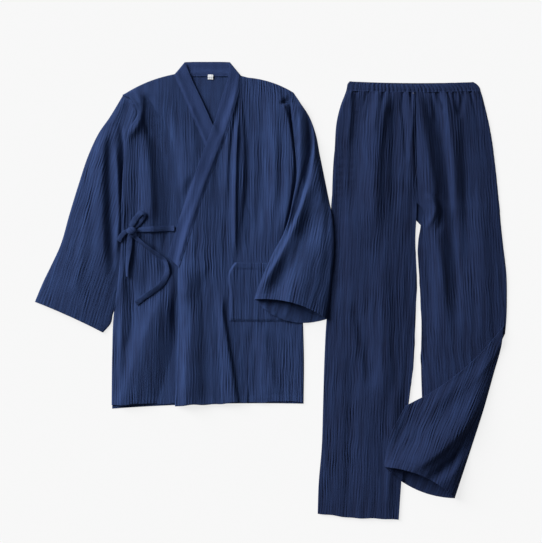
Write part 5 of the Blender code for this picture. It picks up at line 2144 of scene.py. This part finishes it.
@dataclass
class Trousers:
    """The gathered trousers: two legs, the left one folded over at the bottom, and the waist.

    The first numbers are the lengths and widths that the grid lines are spaced for, and the lines'
    distances.
    """

    leg_width: float = 0.186
    right_length: float = 0.94
    left_length: float = 0.64
    spacing: float = 0.00150
    spacing_along: float = 0.0048
    back_width: float = 0.18
    right_back_length: float = 0.93
    left_back_length: float = 0.62
    hidden_spacing: float = 0.009
    hidden_spacing_along: float = 0.02
    lower_width: float = 0.25
    lower_length: float = 0.32
    lower_spacing: float = 0.0017
    lower_spacing_along: float = 0.0040
    waist_width: float = 0.29
    waist_depth: float = 0.0208
    waist_spacing: float = 0.00085
    waist_under_spacing: float = 0.004
    waist_spacing_along: float = 0.0016
    hem_inset: float = 0.016
    hem_wave: float = 0.0008
    lower_wall: float = 0.0008
    waist_wall: float = 0.0010
    waist_stitch: float = 0.0028
    right_crinkle: Crinkle = Crinkle(seed=21, depth=0.00030, angle=88.0)
    left_crinkle: Crinkle = Crinkle(seed=22, depth=0.00030, angle=92.5)
    hidden_crinkle: Crinkle = Crinkle(seed=23, depth=0.00004)
    lower_crinkle: Crinkle = Crinkle(seed=24, angle=68.0, depth=0.00030)
    waist_crinkle: Crinkle = Crinkle(seed=25, depth=0.00012, spacing=0.005, run=0.01,
                                     broad_share=0.5)
    gathers: Gathers = Gathers()
    pieces: list[bpy.types.Object] = field(default_factory=list)

    def backs(self) -> list[Panel]:
        """Shape the two back panels, which lie on the floor.

        Returns:
            The wearer's right one and left one.
        """
        backs = (("trouser_right_back", TROUSER_RIGHT_BACK, self.right_back_length),
                 ("trouser_left_back", TROUSER_LEFT_BACK, self.left_back_length))
        return [Panel(node, table, evenly(self.back_width, self.hidden_spacing),
                      evenly(length, self.hidden_spacing_along), crinkle=self.hidden_crinkle,
                      pressed=True, rolls=sides(HIDDEN_RADIUS, HIDDEN_RADIUS))
                for node, table, length in backs]

    def fronts(self) -> list[Panel]:
        """Shape the two front panels, full at the centre seam.

        Returns:
            The wearer's right one and left one.
        """
        across = evenly(self.leg_width, self.spacing)
        right = Panel("trouser_right_front", TROUSER_RIGHT, across,
                      evenly(self.right_length, self.spacing_along), TROUSER_RIGHT_CREASES,
                      self.right_crinkle, rolls=sides(left=SIDE_SEAM, keep=1.0),
                      seams=(Seam(Edge.END, self.hem_inset),), gathers=self.gathers, lean=1.0,
                      lean_end=0.31, hem_wave=self.hem_wave)
        left = Panel("trouser_left_front", TROUSER_LEFT, across,
                     evenly(self.left_length, self.spacing_along), TROUSER_LEFT_CREASES,
                     self.left_crinkle, rolls=sides(right=SIDE_SEAM, keep=1.0),
                     gathers=self.gathers, lean=0.0, lean_end=0.44, calms=TROUSER_LEFT_CALMS)
        return [right, left]

    def lower_leg(self) -> Tube:
        """Shape the left leg's lower part, folded over and swung inwards."""
        across = evenly(self.lower_width, self.lower_spacing)
        return Tube("trouser_left_lower", LOWER_LEG, across, across,
                    evenly(self.lower_length, self.lower_spacing_along), LOWER_LEG_CREASES,
                    self.lower_crinkle, held=Hold.FOLDED, wall=self.lower_wall,
                    side_radius=0.0010, inner_gap=0.0002, folded_start=True,
                    hem_inset=self.hem_inset, mouth_power=0.40, mouth_lean=0.26, lip=0.0030)

    def waist(self) -> Tube:
        """Shape the elastic casing, one ring."""
        return Tube("waistband", WAISTBAND, evenly(self.waist_width, self.waist_spacing),
                    evenly(self.waist_width, self.waist_under_spacing),
                    evenly(self.waist_depth, self.waist_spacing_along),
                    crinkle=self.waist_crinkle, held=Hold.GATHERED, wall=self.waist_wall,
                    side_radius=0.0014, inner_gap=0.0003, gathers=self.gathers,
                    hem_inset=self.waist_stitch)

    def build(self, pile: Pile, materials: Materials) -> None:
        """Lay the trousers from the floor up.

        Args:
            pile: The cloth laid so far.
            materials: The material of each slot.
        """
        for part in self.backs():
            self.pieces.append(part.lay(pile, materials))
        below = [FLOOR_NAME, *(piece.name for piece in self.pieces)]
        beside = Pile()
        beside.take(pile)
        self.pieces.append(self.waist().lay(pile, materials, below))
        for part in self.fronts():
            self.pieces.append(part.lay(beside, materials, below))
            below = [*below, self.pieces[-1].name]
        pile.take(beside)
        self.pieces.append(self.lower_leg().lay(pile, materials, below))


@dataclass
class SideBow:
    """The two ties at the wearer's right side, in a bow with one loop."""

    lines: tuple[tuple[str, Sequence[Stop]], ...] = (
        ("tie_front", TIE_FRONT), ("tie_side", TIE_SIDE), ("tie_loop", TIE_LOOP),
        ("tie_tail_short", TAIL_SHORT), ("tie_tail_long", TAIL_LONG))
    below: str = "front_right_piece"

    def build(self, pile: Pile, materials: Materials) -> None:
        """Lay the ties on the jacket and set the knot on them."""
        pieces = [Strap(node, table).lay(pile, materials, [self.below])
                  for node, table in self.lines]
        Knot().lay(pile, materials, [piece.name for piece in pieces])


NAVY_FINISH = GauzeFinish("navy_crinkle_cloth", (0.012, 0.018, 0.050), (0.029, 0.055, 0.150))
# A darker copy of the same navy cloth for the trousers: painted shade, not a different dye.
SHADED_TROUSER_FINISH = GauzeFinish("shaded_trouser_crinkle_cloth", (0.008, 0.011, 0.030), (0.018, 0.033, 0.093))
COLLAR_FINISH = GauzeFinish("navy_collar_cloth", (0.018, 0.031, 0.090), (0.028, 0.049, 0.134),
                            crimp_share=0.5)


def main() -> None:
    logging.basicConfig(level=logging.INFO, format="%(message)s")
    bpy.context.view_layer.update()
    materials = {Slot.CLOTH: NAVY_FINISH.material(), Slot.COLLAR: COLLAR_FINISH.material(),
                 Slot.LABEL: TapeFinish().material()}
    pile = Pile()
    jacket = Jacket()
    jacket.build_body(pile, materials)
    # The trousers take the darker copy of the cloth, which paints shade on them.
    Trousers().build(pile, {**materials, Slot.CLOTH: SHADED_TROUSER_FINISH.material()})
    jacket.build_left_sleeve(pile, materials)
    SideBow().build(pile, materials)
    Studio().build()
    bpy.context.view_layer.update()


if __name__ == "__main__":
    main()
